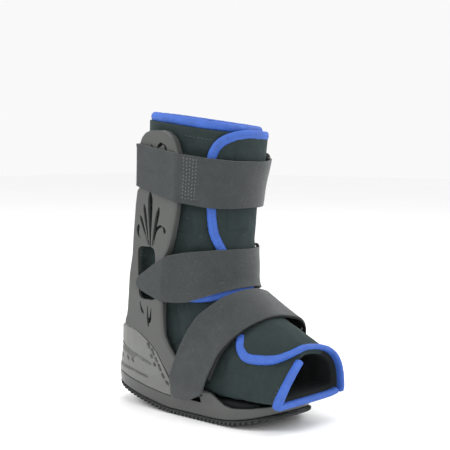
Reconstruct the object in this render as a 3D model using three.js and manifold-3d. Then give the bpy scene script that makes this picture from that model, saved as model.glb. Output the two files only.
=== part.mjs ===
// A short rocker-sole walking boot for a small leg: a soft wrap liner in a moulded plastic shell,
// held by three hook-and-loop straps. Millimetres, +Z up, toe towards +X, the nearer side towards -Y.
import * as THREE from "three";
import { mergeVertices } from "three/addons/utils/BufferGeometryUtils.js";
import Module from "manifold-3d";

const wasm = await Module();
wasm.setup();

// Sole and shell
const SOLE_LENGTH = 203;
const SOLE_HALF_WIDTH = 43;
const HEEL_RISE = 19;
const TOE_RISE = 12;
const TREAD_THICKNESS = 4;
const TOOTH_DEPTH = 1.8;
const TOOTH_PITCH = 4.8;
const PAN_FLOOR = 3;
const PAN_FLOOR_HEIGHT = 15;
const SHELL_WALL = 3;
const SHELL_HEIGHT = 254;
const FLANGE_DEPTH = 8;
const INSOLE_THICKNESS = 6;

// Liner
const TOE_OVERHANG = 9;
const COLLAR_RISE = 16;
const LINER_BULGE = 1;
const PADDING = 7;
const FLAP_THICKNESS = 2.6;
const FLAP_LIFT = 1.05;
const BINDING_RADIUS = 2.8;
const COLLAR_BINDING_RADIUS = 3.8;

// Straps and rings
const STRAP_THICKNESS = 2;
const STRAP_LIFT = 7;
const STRAP_RETURN = 11;
const RING_BAR = 2.2;
const RING_MARGIN = 3.2;
const RING_DEPTH = 5;

// Upright vents
const WINDOW_WIDTH = 22;
const WINDOW_HEIGHT = 48;
const VENT_WIDTH = 3.4;
const STRAP_SLOT_LENGTH = 13;
const STRAP_SLOT_HEIGHT = 5;

// Fit between neighbouring pieces
const GAP = 0.35;

// The liner stands on the insole, and its size comes from the sole and the shell that hold it.
const LINER_SEAT = PAN_FLOOR_HEIGHT + INSOLE_THICKNESS + 3 * GAP;
const LINER_LENGTH = SOLE_LENGTH + TOE_OVERHANG;
const LINER_RISE = SHELL_HEIGHT + COLLAR_RISE - LINER_SEAT;
const LINER_HALF_WIDTH = SOLE_HALF_WIDTH + LINER_BULGE;
const { degToRad } = THREE.MathUtils;

// Value at x of a table of [x, value] rows, straight between rows.
function between(table, x) {
  if (x <= table[0][0]) return table[0][1];
  const next = table.findIndex((row) => row[0] >= x);
  if (next < 0) return table[table.length - 1][1];
  const [x0, y0] = table[next - 1];
  const [x1, y1] = table[next];
  return y0 + ((y1 - y0) * (x - x0)) / (x1 - x0);
}

function spread(from, to, count) {
  return Array.from({ length: count + 1 }, (_, i) => from + ((to - from) * i) / count);
}

function geometryOf(points, triangles) {
  const flat = points.flatMap((p) => [p.x, p.y, p.z]);
  const geometry = new THREE.BufferGeometry();
  geometry.setAttribute("position", new THREE.Float32BufferAttribute(flat, 3));
  geometry.setIndex(triangles.flat());
  return geometry;
}

// Closed solid through cross-sections that all have the same number of points.
function loft(sections, closedPath = false) {
  const ring = sections[0].length;
  const points = sections.flat();
  const triangles = [];
  const rows = closedPath ? sections.length : sections.length - 1;
  for (let i = 0; i < rows; i += 1) {
    const a = i * ring;
    const b = ((i + 1) % sections.length) * ring;
    for (let j = 0; j < ring; j += 1) {
      const k = (j + 1) % ring;
      triangles.push([a + j, b + k, b + j], [a + j, a + k, b + k]);
    }
  }
  if (!closedPath) {
    triangles.push(...capTriangles(sections[0]).map(([a, b, c]) => [c, b, a]));
    const last = (sections.length - 1) * ring;
    const end = capTriangles(sections[sections.length - 1]);
    triangles.push(...end.map((t) => t.map((n) => n + last)));
  }
  return outward(geometryOf(points, triangles));
}

// Triangles over a flat ring of points, in the ring's own turn.
function capTriangles(ring) {
  const normal = new THREE.Vector3();
  ring.forEach((p, i) => {
    const q = ring[(i + 1) % ring.length];
    normal.x += (p.y - q.y) * (p.z + q.z);
    normal.y += (p.z - q.z) * (p.x + q.x);
    normal.z += (p.x - q.x) * (p.y + q.y);
  });
  const turn = new THREE.Quaternion().setFromUnitVectors(normal.normalize(), new THREE.Vector3(0, 0, 1));
  const flat = ring.map((p) => p.clone().applyQuaternion(turn)).map((p) => new THREE.Vector2(p.x, p.y));
  return THREE.ShapeUtils.triangulateShape(flat, []);
}

function outward(geometry) {
  const p = geometry.attributes.position;
  const index = geometry.index.array;
  const corner = (n) => new THREE.Vector3().fromBufferAttribute(p, index[n]);
  let volume = 0;
  for (let i = 0; i < index.length; i += 3) {
    volume += corner(i).dot(corner(i + 1).cross(corner(i + 2)));
  }
  if (volume < 0) index.reverse();
  return geometry;
}

// Sheet with thickness: outer(i, j) and inner(i, j) give its two faces over a grid.
function sheet(rows, columns, outer, inner, closedAround = false) {
  const sections = spread(0, rows, rows).map((i) => {
    const steps = spread(0, columns, columns).slice(0, closedAround ? columns : columns + 1);
    const top = steps.map((j) => outer(i, j));
    const bottom = steps.map((j) => inner(i, j));
    return closedAround ? [top, bottom] : top.concat(bottom.reverse());
  });
  if (!closedAround) return loft(sections);
  const tops = sections.map(([top]) => top);
  const bottoms = sections.map(([, bottom]) => bottom).reverse();
  return loft(tops.concat(bottoms), true);
}

function solidOf(geometry) {
  const bare = new THREE.BufferGeometry();
  const source = geometry.index ? geometry.toNonIndexed() : geometry;
  bare.setAttribute("position", source.attributes.position);
  const merged = mergeVertices(bare, 1e-4);
  const vertProperties = merged.attributes.position.array;
  const triVerts = new Uint32Array(merged.index.array);
  return new wasm.Manifold(new wasm.Mesh({ numProp: 3, vertProperties, triVerts }));
}

function geometryFrom(solid) {
  const mesh = solid.getMesh();
  const geometry = new THREE.BufferGeometry();
  geometry.setAttribute("position", new THREE.Float32BufferAttribute(mesh.vertProperties, 3));
  geometry.setIndex(Array.from(mesh.triVerts));
  return geometry;
}

function cut(body, ...tools) {
  return geometryFrom(tools.reduce((solid, tool) => solid.subtract(solidOf(tool)), solidOf(body)));
}

// Sole plan: place along the sole and half width, as shares.
const SOLE_PLAN = [
  [0, 0.14],
  [0.007, 0.3],
  [0.04, 0.58],
  [0.108, 0.78],
  [0.227, 0.872],
  [0.375, 0.895],
  [0.522, 0.93],
  [0.695, 0.985],
  [0.808, 1],
  [0.887, 0.85],
  [0.946, 0.593],
  [0.985, 0.3],
  [1, 0.14],
];
const planCurve = new THREE.SplineCurve(SOLE_PLAN.map(([x, y]) => new THREE.Vector2(x, y)));
const PLAN_STATIONS = 28;
const planPoints = spread(0, 1, PLAN_STATIONS).map((t) => planCurve.getPoint(t));
const planTable = planPoints.map((p) => [p.x * SOLE_LENGTH, p.y * SOLE_HALF_WIDTH]);
const planHalf = (x) => between(planTable, x);

// The side walls lean outwards with height: shell height share and width factor.
const FLARE = [
  [0.03, 1],
  [0.094, 1.07],
  [0.134, 1.16],
  [0.177, 1.19],
  [0.252, 1.235],
  [0.315, 1.28],
  [0.421, 1.335],
  [1, 1.41],
];
const flare = (z) => between(FLARE, z / SHELL_HEIGHT);
const wallHalf = (x, z) => planHalf(x) * flare(z);

// The heel's back leans forwards with height.
const HEEL_TUCK = [
  [0.1, 1],
  [0.2, 0.81],
  [0.31, 0.7],
];
const HEEL_SPAN = 0.227 * SOLE_LENGTH;
function tucked(x, z) {
  if (x >= HEEL_SPAN) return x;
  return HEEL_SPAN - (HEEL_SPAN - x) * between(HEEL_TUCK, z / SHELL_HEIGHT);
}

// Height of the rocker's underside: flat in the middle, rising to heel and toe.
const FLAT_START = 0.414 * SOLE_LENGTH;
const FLAT_END = 0.65 * SOLE_LENGTH;
function rocker(x) {
  if (x < FLAT_START) return HEEL_RISE * ((FLAT_START - x) / FLAT_START) ** 1.35;
  if (x > FLAT_END) return TOE_RISE * ((x - FLAT_END) / (SOLE_LENGTH - FLAT_END)) ** 2;
  return 0;
}
const panBottom = (x) => rocker(x) + TREAD_THICKNESS + GAP;
const floorTop = (x) => Math.max(PAN_FLOOR_HEIGHT, panBottom(x) + PAN_FLOOR);

// Top of the pan's rim: place along the sole and height above the tread's flat, as shares.
const UPRIGHT_FRONT = 0.633 * SOLE_LENGTH;
const UPRIGHT_FOOT = 24;
const PAN_SKIRT = 12;
const RIM = [
  [0.637, 0.116],
  [0.685, 0.11],
  [0.72, 0.0906],
  [0.754, 0.0748],
  [0.8, 0.0685],
  [0.88, 0.0724],
  [1, 0.0906],
];
const SKIRT_END = 0.43 * SOLE_LENGTH;
function rimTop(x) {
  if (x < SKIRT_END) return Math.min(panBottom(x) + PAN_SKIRT, UPRIGHT_FOOT + rocker(x) * 0.4);
  if (x < UPRIGHT_FRONT + GAP) return UPRIGHT_FOOT;
  return between(RIM, x / SOLE_LENGTH) * SHELL_HEIGHT;
}

// Line where the heel cap meets the upright: place along the sole and height, as shares.
const RIDGE = [
  [0.217, 0.314],
  [0.246, 0.303],
  [0.276, 0.287],
  [0.33, 0.252],
  [0.369, 0.22],
  [0.404, 0.177],
  [0.438, 0.134],
  [0.46, 0.104],
  [0.468, 0.0945],
];
const ridgeTop = (x) => between(RIDGE, x / SOLE_LENGTH) * SHELL_HEIGHT;

// Upright edges above the ridge: height, rear and front as shares.
const UPRIGHT_EDGES = [
  [1, 0.375, 0.461],
  [0.992, 0.346, 0.483],
  [0.976, 0.326, 0.505],
  [0.949, 0.311, 0.52],
  [0.921, 0.306, 0.534],
  [0.866, 0.299, 0.532],
  [0.795, 0.291, 0.525],
  [0.744, 0.284, 0.519],
  [0.693, 0.277, 0.505],
  [0.626, 0.267, 0.481],
  [0.563, 0.259, 0.451],
  [0.488, 0.234, 0.431],
  [0.421, 0.226, 0.424],
  [0.366, 0.212, 0.419],
  [0.331, 0.197, 0.419],
  [0.318, 0.191, 0.419],
  [0.303, 0.246, 0.421],
  [0.287, 0.276, 0.424],
  [0.252, 0.33, 0.446],
  [0.22, 0.369, 0.476],
  [0.196, 0.388, 0.507],
  [0.177, 0.404, 0.532],
  [0.158, 0.42, 0.57],
  [0.134, 0.438, 0.61],
  [0.118, 0.449, 0.631],
  [0.0959, 0.463, 0.632],
];
const edgeTable = (column) => {
  const rows = UPRIGHT_EDGES.map((row) => [row[0] * SHELL_HEIGHT, row[column] * SOLE_LENGTH]);
  return rows.reverse();
};
const uprightRear = edgeTable(1);
const uprightFront = edgeTable(2);

function makeTread() {
  const sections = [];
  const start = TOOTH_PITCH / 2;
  const count = Math.floor((SOLE_LENGTH - 2 * start) / TOOTH_PITCH);
  const tooth = [
    [0, 0],
    [0.55, 0],
    [0.76, TOOTH_DEPTH],
  ];
  const row = (x, notch) => {
    const half = planHalf(x);
    const bottom = rocker(x) + notch;
    const top = rocker(x) + TREAD_THICKNESS;
    return [
      new THREE.Vector3(x, -half, bottom),
      new THREE.Vector3(x, half, bottom),
      new THREE.Vector3(x, half, top),
      new THREE.Vector3(x, -half, top),
    ];
  };
  sections.push(row(0, 0));
  for (let i = 0; i < count; i += 1) {
    tooth.forEach(([share, notch]) => sections.push(row(start + (i + share) * TOOTH_PITCH, notch)));
  }
  sections.push(row(start + count * TOOTH_PITCH, 0), row(SOLE_LENGTH, 0));
  return loft(sections);
}

// One cross-section of a cup-shaped body: levels up one side and down the other.
function cupSection(x, low, high, levels, inset) {
  const heights = spread(low, high, levels);
  const side = (sign) =>
    heights.map((z) => {
      const half = Math.max(wallHalf(x, z) - inset, 0.6);
      const ends = inset * Math.sign(SOLE_LENGTH / 2 - x) * Math.max(0, 1 - planHalf(x) / SOLE_HALF_WIDTH);
      return new THREE.Vector3(tucked(x, z) + ends, sign * half, z);
    });
  return side(-1).concat(side(1).reverse());
}

function makePan() {
  const edges = planTable.map(([x]) => x).concat([UPRIGHT_FRONT, UPRIGHT_FRONT + 2 * GAP, SKIRT_END]);
  const stations = [...new Set(edges)].sort((a, b) => a - b);
  const body = loft(stations.map((x) => cupSection(x, panBottom(x), rimTop(x), 3, 0)));
  const hollow = loft(
    spread(SHELL_WALL * 1.3, SOLE_LENGTH - SHELL_WALL * 1.3, PLAN_STATIONS).map((x) =>
      cupSection(x, floorTop(x), SHELL_HEIGHT / 4, 3, SHELL_WALL),
    ),
  );
  const slots = [-1, 1].map((side) => {
    const slot = new THREE.BoxGeometry(STRAP_SLOT_LENGTH, 3 * SHELL_WALL, STRAP_SLOT_HEIGHT);
    slot.translate(SLOT_PLACE.x, side * wallHalf(SLOT_PLACE.x, SLOT_PLACE.z), SLOT_PLACE.z);
    return slot;
  });
  return cut(body, hollow, ...slots);
}

function makeHeelCap() {
  const last = RIDGE[RIDGE.length - 2][0] * SOLE_LENGTH;
  const stations = planTable.map(([x]) => x).filter((x) => x < last - 2 * GAP);
  const section = (x, grow, inset) => {
    const low = rimTop(x) + GAP - grow;
    const high = Math.max(ridgeTop(x) - 2 * GAP, rimTop(x) + 2 * GAP) + grow;
    return cupSection(x, low, high, 4, inset);
  };
  const body = loft(stations.map((x) => section(x, 0, 0)));
  const inside = spread(SHELL_WALL, last + SHELL_WALL, stations.length);
  const hollow = loft(inside.map((x) => section(x, 2, SHELL_WALL)));
  return cut(body, hollow);
}

// Side plate with turned-in front and rear flanges, pierced by a window and tapered vents.
function makeUpright(side) {
  const sections = UPRIGHT_EDGES.map(([height, rear, front]) => {
    const z = height * SHELL_HEIGHT;
    const back = rear * SOLE_LENGTH;
    const fore = front * SOLE_LENGTH;
    const y = side * wallHalf((back + fore) / 2, z);
    const depth = between(FLANGE_REACH, height) * FLANGE_DEPTH + SHELL_WALL * 1.1;
    const at = (x, inwards) => new THREE.Vector3(x, y - side * inwards, z);
    return [
      at(back, 0),
      at(fore, 0),
      at(fore, depth),
      at(fore - SHELL_WALL, depth),
      at(fore - SHELL_WALL, SHELL_WALL),
      at(back + SHELL_WALL, SHELL_WALL),
      at(back + SHELL_WALL, depth),
      at(back, depth),
    ];
  });
  return cut(loft(sections), ...ventShapes().map((shape) => ventTool(shape, side)));
}
const FLANGE_REACH = [
  [0.25, 0],
  [0.45, 0.58],
  [0.97, 0.58],
  [1, 0.3],
];

function ventTool(shape, side) {
  const deep = 4 * SHELL_WALL;
  const tool = new THREE.ExtrudeGeometry(shape, { depth: deep, bevelEnabled: false, curveSegments: 2 });
  tool.rotateX(Math.PI / 2);
  tool.translate(0, deep / 2 + side * wallHalf(0.4 * SOLE_LENGTH, 0.6 * SHELL_HEIGHT), 0);
  return tool;
}

// Vents in the side plate: foot and tip of each tapered slot as shares of sole length and height,
// and its width share.
const VENTS = [
  [0.328, 0.62, 0.292, 0.78, 1],
  [0.345, 0.62, 0.345, 0.79, 1.1],
  [0.362, 0.62, 0.405, 0.78, 1],
  [0.385, 0.61, 0.45, 0.71, 0.8],
  [0.315, 0.61, 0.29, 0.68, 0.8],
  [0.29, 0.395, 0.27, 0.34, 0.8],
  [0.315, 0.395, 0.325, 0.325, 1],
  [0.34, 0.4, 0.372, 0.345, 0.8],
  [0.385, 0.965, 0.34, 0.93, 0.8],
  [0.41, 0.965, 0.46, 0.93, 0.8],
];
const WINDOW_PLACE = { x: 0.337 * SOLE_LENGTH, z: 0.5 * SHELL_HEIGHT };
const SLOT_PLACE = { x: 0.585 * SOLE_LENGTH, z: 0.074 * SHELL_HEIGHT };

function ventShapes() {
  const taper = VENTS.map(([x0, z0, x1, z1, width]) => {
    const foot = new THREE.Vector2(x0 * SOLE_LENGTH, z0 * SHELL_HEIGHT);
    const tip = new THREE.Vector2(x1 * SOLE_LENGTH, z1 * SHELL_HEIGHT);
    const along = tip.clone().sub(foot);
    const across = new THREE.Vector2(-along.y, along.x).normalize().multiplyScalar((VENT_WIDTH * width) / 2);
    const belly = foot.clone().addScaledVector(along, 0.65);
    const shape = new THREE.Shape();
    shape.moveTo(foot.x, foot.y);
    shape.quadraticCurveTo(belly.x + across.x, belly.y + across.y, tip.x + across.x, tip.y + across.y);
    shape.lineTo(tip.x - across.x, tip.y - across.y);
    shape.quadraticCurveTo(belly.x - across.x, belly.y - across.y, foot.x, foot.y);
    return shape;
  });
  const { x, z } = WINDOW_PLACE;
  const w = WINDOW_WIDTH / 2;
  const h = WINDOW_HEIGHT / 2;
  const round = WINDOW_WIDTH / 5;
  const window = new THREE.Shape();
  window.moveTo(x - w + round, z - h);
  window.lineTo(x + w - round, z - h);
  window.quadraticCurveTo(x + w, z - h, x + w, z - h + round);
  window.lineTo(x + w, z + h - round);
  window.quadraticCurveTo(x + w, z + h, x + w - round, z + h);
  window.lineTo(x - w + round, z + h);
  window.quadraticCurveTo(x - w, z + h, x - w, z + h - round);
  window.lineTo(x - w, z - h + round);
  window.quadraticCurveTo(x - w, z - h, x - w + round, z - h);
  return taper.concat([window]);
}

function makeInsole() {
  const start = 0.115 * SOLE_LENGTH;
  const end = SOLE_LENGTH - 7 * SHELL_WALL;
  const stations = spread(start, end, 16);
  return loft(
    stations.map((x) => {
      const low = floorTop(x) + 2 * GAP;
      const high = Math.max(PAN_FLOOR_HEIGHT + INSOLE_THICKNESS + GAP, floorTop(x) + 3.2);
      const half = planHalf(x) - SHELL_WALL - GAP;
      return [
        new THREE.Vector3(x, -half, low),
        new THREE.Vector3(x, half, low),
        new THREE.Vector3(x, half, high),
        new THREE.Vector3(x, -half, high),
      ];
    }),
  );
}

// Liner sections from the collar round the heel to the toe. Front and back point (shares of the
// liner's length and rise), half width share, where the far and the near side are widest between
// front and back, and the roundness exponents of its near front, far front and back corners.
const LINER_SECTIONS = [
  { fx: 0.689, fz: 0.934, bx: 0.2, bz: 0.988, half: 1, belly: 0.5, nearBelly: 0.5, near: 2.25, far: 2.25, rear: 2.25 },
  { fx: 0.677, fz: 0.831, bx: 0.198, bz: 0.899, half: 1.01, belly: 0.5, nearBelly: 0.5, near: 2.25, far: 2.25, rear: 2.25 },
  { fx: 0.644, fz: 0.73, bx: 0.177, bz: 0.782, half: 1.01, belly: 0.5, nearBelly: 0.5, near: 2.25, far: 2.25, rear: 2.25 },
  { fx: 0.627, fz: 0.621, bx: 0.163, bz: 0.653, half: 0.977, belly: 0.5, nearBelly: 0.5, near: 2.25, far: 2.25, rear: 2.6 },
  { fx: 0.623, fz: 0.524, bx: 0.155, bz: 0.516, half: 0.955, belly: 0.5, nearBelly: 0.5, near: 2.25, far: 2.25, rear: 3 },
  { fx: 0.63, fz: 0.444, bx: 0.144, bz: 0.387, half: 0.943, belly: 0.5, nearBelly: 0.5, near: 2.25, far: 2.25, rear: 3 },
  { fx: 0.632, fz: 0.395, bx: 0.118, bz: 0.266, half: 0.955, belly: 0.5, nearBelly: 0.5, near: 2.25, far: 2.25, rear: 2.9 },
  { fx: 0.65, fz: 0.363, bx: 0.092, bz: 0.161, half: 0.966, belly: 0.5, nearBelly: 0.5, near: 2.25, far: 2.25, rear: 2.7 },
  { fx: 0.69, fz: 0.337, bx: 0.073, bz: 0.081, half: 0.966, belly: 0.5, nearBelly: 0.5, near: 2.25, far: 2.25, rear: 2.6 },
  { fx: 0.722, fz: 0.317, bx: 0.09, bz: 0.02, half: 0.966, belly: 0.54, nearBelly: 0.54, near: 2.2, far: 2.2, rear: 3 },
  { fx: 0.757, fz: 0.296, bx: 0.17, bz: 0, half: 0.943, belly: 0.6, nearBelly: 0.6, near: 2.2, far: 2.2, rear: 3.5 },
  { fx: 0.792, fz: 0.276, bx: 0.321, bz: 0, half: 0.943, belly: 0.65, nearBelly: 0.65, near: 2.2, far: 2.2, rear: 4 },
  { fx: 0.83, fz: 0.256, bx: 0.524, bz: 0, half: 0.955, belly: 0.68, nearBelly: 0.68, near: 2.2, far: 2.2, rear: 4.5 },
  { fx: 0.873, fz: 0.234, bx: 0.722, bz: 0, half: 0.966, belly: 0.7, nearBelly: 0.71, near: 2, far: 2.2, rear: 5 },
  { fx: 0.917, fz: 0.212, bx: 0.868, bz: 0.004, half: 0.977, belly: 0.72, nearBelly: 0.77, near: 1.75, far: 2.3, rear: 5 },
  { fx: 0.958, fz: 0.197, bx: 0.955, bz: 0.01, half: 0.989, belly: 0.75, nearBelly: 0.87, near: 1.4, far: 2.4, rear: 5 },
  { fx: 0.985, fz: 0.188, bx: 0.998, bz: 0.01, half: 1, belly: 0.75, nearBelly: 0.95, near: 1.15, far: 2.5, rear: 5 },
];
const LAST_SECTION = LINER_SECTIONS.length - 1;

// Section at any place along the table, smooth between its rows.
function linerSection(s) {
  const at = (n) => LINER_SECTIONS[THREE.MathUtils.clamp(n, 0, LAST_SECTION)];
  const i = THREE.MathUtils.clamp(Math.floor(s), 0, LAST_SECTION - 1);
  const f = s - i;
  const blended = {};
  for (const key of Object.keys(LINER_SECTIONS[0])) {
    const p1 = at(i)[key];
    const p2 = at(i + 1)[key];
    const p0 = i > 0 ? at(i - 1)[key] : 2 * p1 - p2;
    const p3 = i + 2 <= LAST_SECTION ? at(i + 2)[key] : 2 * p2 - p1;
    const bend = 2 * p0 - 5 * p1 + 4 * p2 - p3 + f * (3 * (p1 - p2) + p3 - p0);
    blended[key] = p1 + 0.5 * f * (p2 - p0 + f * bend);
  }
  return blended;
}

// Point on the liner: section place s, turn in degrees (0 front, 90 near side, 180 back) and
// height above the liner's outer face.
function onLiner(s, degrees, lift = 0) {
  const row = linerSection(s);
  const front = new THREE.Vector3(row.fx * LINER_LENGTH, 0, LINER_SEAT + row.fz * LINER_RISE);
  const back = new THREE.Vector3(row.bx * LINER_LENGTH, 0, LINER_SEAT + row.bz * LINER_RISE);
  const axis = back.clone().sub(front).normalize();
  front.addScaledVector(axis, -lift);
  back.addScaledVector(axis, lift);
  const c = Math.cos(degToRad(degrees));
  const q = Math.sin(degToRad(degrees));
  const sideRound = q > 0 ? row.near : row.far;
  const belly = q > 0 ? row.nearBelly : row.belly;
  const round = c > 0 ? sideRound : row.rear;
  const reach = Math.abs(c) ** (2 / round);
  const share = c > 0 ? belly * (1 - reach) : belly + (1 - belly) * reach;
  const point = front.lerp(back, share);
  const half = row.half * LINER_HALF_WIDTH + lift;
  point.y = -Math.sign(q) * half * Math.abs(q) ** (2 / round);
  return point;
}

const LINER_START = 0.2;
const LINER_END = LAST_SECTION - 0.7;
const LINER_ROWS = 22;
const LINER_TURNS = 25;

function makeLiner() {
  const s = (i) => LINER_START + ((LINER_END - LINER_START) * i) / LINER_ROWS;
  const turn = (j) => (360 * j) / LINER_TURNS;
  const face = (lift) => (i, j) => onLiner(s(i), turn(j), lift);
  return sheet(LINER_ROWS, LINER_TURNS, face(0), face(-PADDING), true);
}

// Flap laid over the liner between two edges, given as tables of [section place, turn]. Its rows
// lie closer together at its start when bunch is over 1.
function makeFlap(nearEdge, farEdge, rows, columns, bunch = 1) {
  const first = Math.max(nearEdge[0][0], farEdge[0][0]);
  const last = Math.min(nearEdge[nearEdge.length - 1][0], farEdge[farEdge.length - 1][0]);
  const place = (i, j, lift) => {
    const s = first + (last - first) * (i / rows) ** bunch;
    const from = between(nearEdge, s);
    const to = between(farEdge, s);
    return onLiner(s, from + ((to - from) * j) / columns, lift);
  };
  const outer = (i, j) => place(i, j, FLAP_LIFT + FLAP_THICKNESS);
  const inner = (i, j) => place(i, j, FLAP_LIFT);
  return sheet(rows, columns, outer, inner);
}

// Round bound edge along a route of [section place, turn] on the liner.
function makeBinding(route, lift, radius, steps, closed = false) {
  const along = new THREE.CatmullRomCurve3(
    route.map(([s, degrees]) => onLiner(s, degrees, lift)),
    closed,
  );
  const sides = 6;
  const frames = along.computeFrenetFrames(steps, closed);
  const count = closed ? steps : steps + 1;
  const sections = Array.from({ length: count }, (_, i) => {
    const centre = along.getPointAt(i / steps);
    return Array.from({ length: sides }, (__, j) => {
      const turn = (2 * Math.PI * j) / sides;
      const p = centre.clone();
      p.addScaledVector(frames.normals[i], radius * Math.cos(turn));
      p.addScaledVector(frames.binormals[i], radius * Math.sin(turn));
      return p;
    });
  });
  return loft(sections, closed);
}

// Near edge of the shaft's front flap: section place and turn.
const SHAFT_FLAP_EDGE = [
  [0.38, 14],
  [0.5, 30],
  [0.75, 38],
  [1.2, 40],
  [2, 36],
  [2.6, 33],
  [3, 31],
  [3.5, 28],
  [4, 21],
  [4.6, 13],
  [5.6, 4],
  [6.2, -2],
];
const SHAFT_FLAP_FAR = [
  [0.38, -58],
  [6.2, -58],
];
// Route of its binding: along the collar and down the edge.
const SHAFT_BINDING = [
  [0.18, -50],
  [0.14, -20],
  [0.12, 0],
  [0.17, 14],
  [0.34, 30],
  [0.62, 41],
  [1, 45.5],
  [1.5, 45],
  [2, 42],
  [2.6, 38.5],
  [3, 37],
  [3.5, 34],
  [4, 27],
  [4.6, 19],
  [5.6, 10],
  [6.2, 4],
];
// Lower edge of the shaft wrap across the ankle.
const ANKLE_BINDING = [
  [6.34, 80],
  [6.47, 72],
  [6.65, 62],
  [6.85, 50],
  [7.02, 36],
  [7.1, 20],
  [7.12, 4],
  [7.12, -12],
];
// Near edge of the foot's upper flap, and the edge on its far side under the foot.
const FOOT_FLAP_EDGE = [
  [11.9, 39],
  [12.5, 50],
  [13, 51.5],
  [13.5, 46],
  [14.2, 35],
  [14.8, 18],
  [14.9, 6],
  [15, -2],
];
const FOOT_FLAP_FAR = [
  [11.9, -86],
  [12.6, -94],
  [13.2, -114],
  [15, -122],
];
const FOOT_BINDING = [
  [12, 46],
  [12.4, 54],
  [12.9, 58],
  [13.4, 54.5],
  [14.2, 44],
  [14.85, 30],
  [15.4, 15],
  [15.8, 0],
  [16.03, -18],
  [16.08, -40],
  [16.03, -65],
  [15.97, -92],
  [15.93, -122],
];
// Bound rim of the toe opening: under the toes and up the near flap.
const TOE_BINDING = [
  [15.84, -132],
  [15.82, -145],
  [15.8, -165],
  [15.8, 180],
  [15.8, 165],
  [15.82, 145],
  [15.86, 128],
  [15.9, 112],
  [15.95, 95],
  [15.98, 78],
  [16, 60],
  [16, 42],
  [16, 26],
];

// Part of the convex outline of a set of [along, across] pairs.
function hull(points) {
  const sorted = [...points].sort((a, b) => a[0] - b[0] || a[1] - b[1]);
  const turn = (o, a, b) => (a[0] - o[0]) * (b[1] - o[1]) - (a[1] - o[1]) * (b[0] - o[0]);
  const half = (list) => {
    const kept = [];
    for (const p of list) {
      while (kept.length > 1 && turn(kept[kept.length - 2], kept[kept.length - 1], p) <= 0) kept.pop();
      kept.push(p);
    }
    return kept.slice(0, -1);
  };
  return half(sorted).concat(half([...sorted].reverse()));
}

// Frame of one liner section: its front point and the direction to its back.
function sectionAxis(s) {
  const row = linerSection(s);
  const front = new THREE.Vector3(row.fx * LINER_LENGTH, 0, LINER_SEAT + row.fz * LINER_RISE);
  const back = new THREE.Vector3(row.bx * LINER_LENGTH, 0, LINER_SEAT + row.bz * LINER_RISE);
  return { front, axis: back.sub(front).normalize() };
}

// Taut line of a strap in the plane of one liner section, on the near (1) or far (-1) side: over the
// liner from the front middle, flat along the outside of the upright and round its rear edge.
function strapLine(s, side, lift) {
  const { front, axis } = sectionAxis(s);
  const along = (table) => {
    let place = 0;
    for (let n = 0; n < 6; n += 1) place = (between(table, front.z + axis.z * place) - front.x) / axis.x;
    return place;
  };
  const proud = lift - STRAP_LIFT;
  const foreEdge = along(uprightFront) - 3 * GAP - proud * 0.4;
  const rearEdge = along(uprightRear) + 3 * GAP + proud;
  const middle = front.clone().addScaledVector(axis, (foreEdge + rearEdge) / 2);
  const width = wallHalf(middle.x, middle.z) + 3 * GAP + proud;
  const face = spread(-100, 100, 40).map((degrees) => {
    const p = onLiner(s, degrees, lift);
    return [p.clone().sub(front).dot(axis), p.y];
  });
  const outline = hull(face.concat([[foreEdge, -side * width], [rearEdge * 2, 0]]));
  const onSide = outline.filter(([place, y]) => -y * side > 0 && place <= foreEdge);
  const arc = onSide.sort((a, b) => Math.abs(a[1]) - Math.abs(b[1]));
  const start = [onLiner(s, 0, lift).sub(front).dot(axis), 0];
  const stretches = [
    [start, ...arc],
    [arc[arc.length - 1], [rearEdge, -side * width]],
    [[rearEdge, -side * width], [rearEdge, -side * (width - STRAP_RETURN - proud)]],
  ];
  const inSpace = ([place, y]) => {
    const p = front.clone().addScaledVector(axis, place);
    p.y = y;
    return p;
  };
  return stretches.map((stretch) => stretch.map(inSpace));
}

// Share of the strap's half at which it reaches the upright's front and rear edge.
const STRAP_CORNERS = [0, 0.5, 0.9, 1];

// Point on that line: 0 at the front middle, 1 at the near end, -1 at the far end.
function onStrap(s, place, lift) {
  const stretches = strapLine(s, place < 0 ? -1 : 1, lift);
  const reach = Math.abs(place);
  const n = reach <= STRAP_CORNERS[1] ? 0 : reach <= STRAP_CORNERS[2] ? 1 : 2;
  const share = (reach - STRAP_CORNERS[n]) / (STRAP_CORNERS[n + 1] - STRAP_CORNERS[n]);
  const path = new THREE.CurvePath();
  stretches[n].slice(1).forEach((p, i) => path.add(new THREE.LineCurve3(stretches[n][i], p)));
  return path.getPoint(Math.min(share, 1));
}

// Strap round the uprights: rows of place along it (1 near end, 0 front, -1 far end), and the
// section places of its upper and lower edge.
function makeUprightStrap(edges, across) {
  const inner = (i, j) => {
    const [place, top, bottom] = edges[i];
    return onStrap(top + ((bottom - top) * j) / across, place, STRAP_LIFT);
  };
  const outer = (i, j) => {
    const [place, top, bottom] = edges[i];
    return onStrap(top + ((bottom - top) * j) / across, place, STRAP_LIFT + STRAP_THICKNESS);
  };
  return sheet(edges.length - 1, across, outer, inner);
}
const COLLAR_ROUTE = spread(0, 360, 20)
  .slice(0, -1)
  .map((turn) => [0, turn]);

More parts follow.
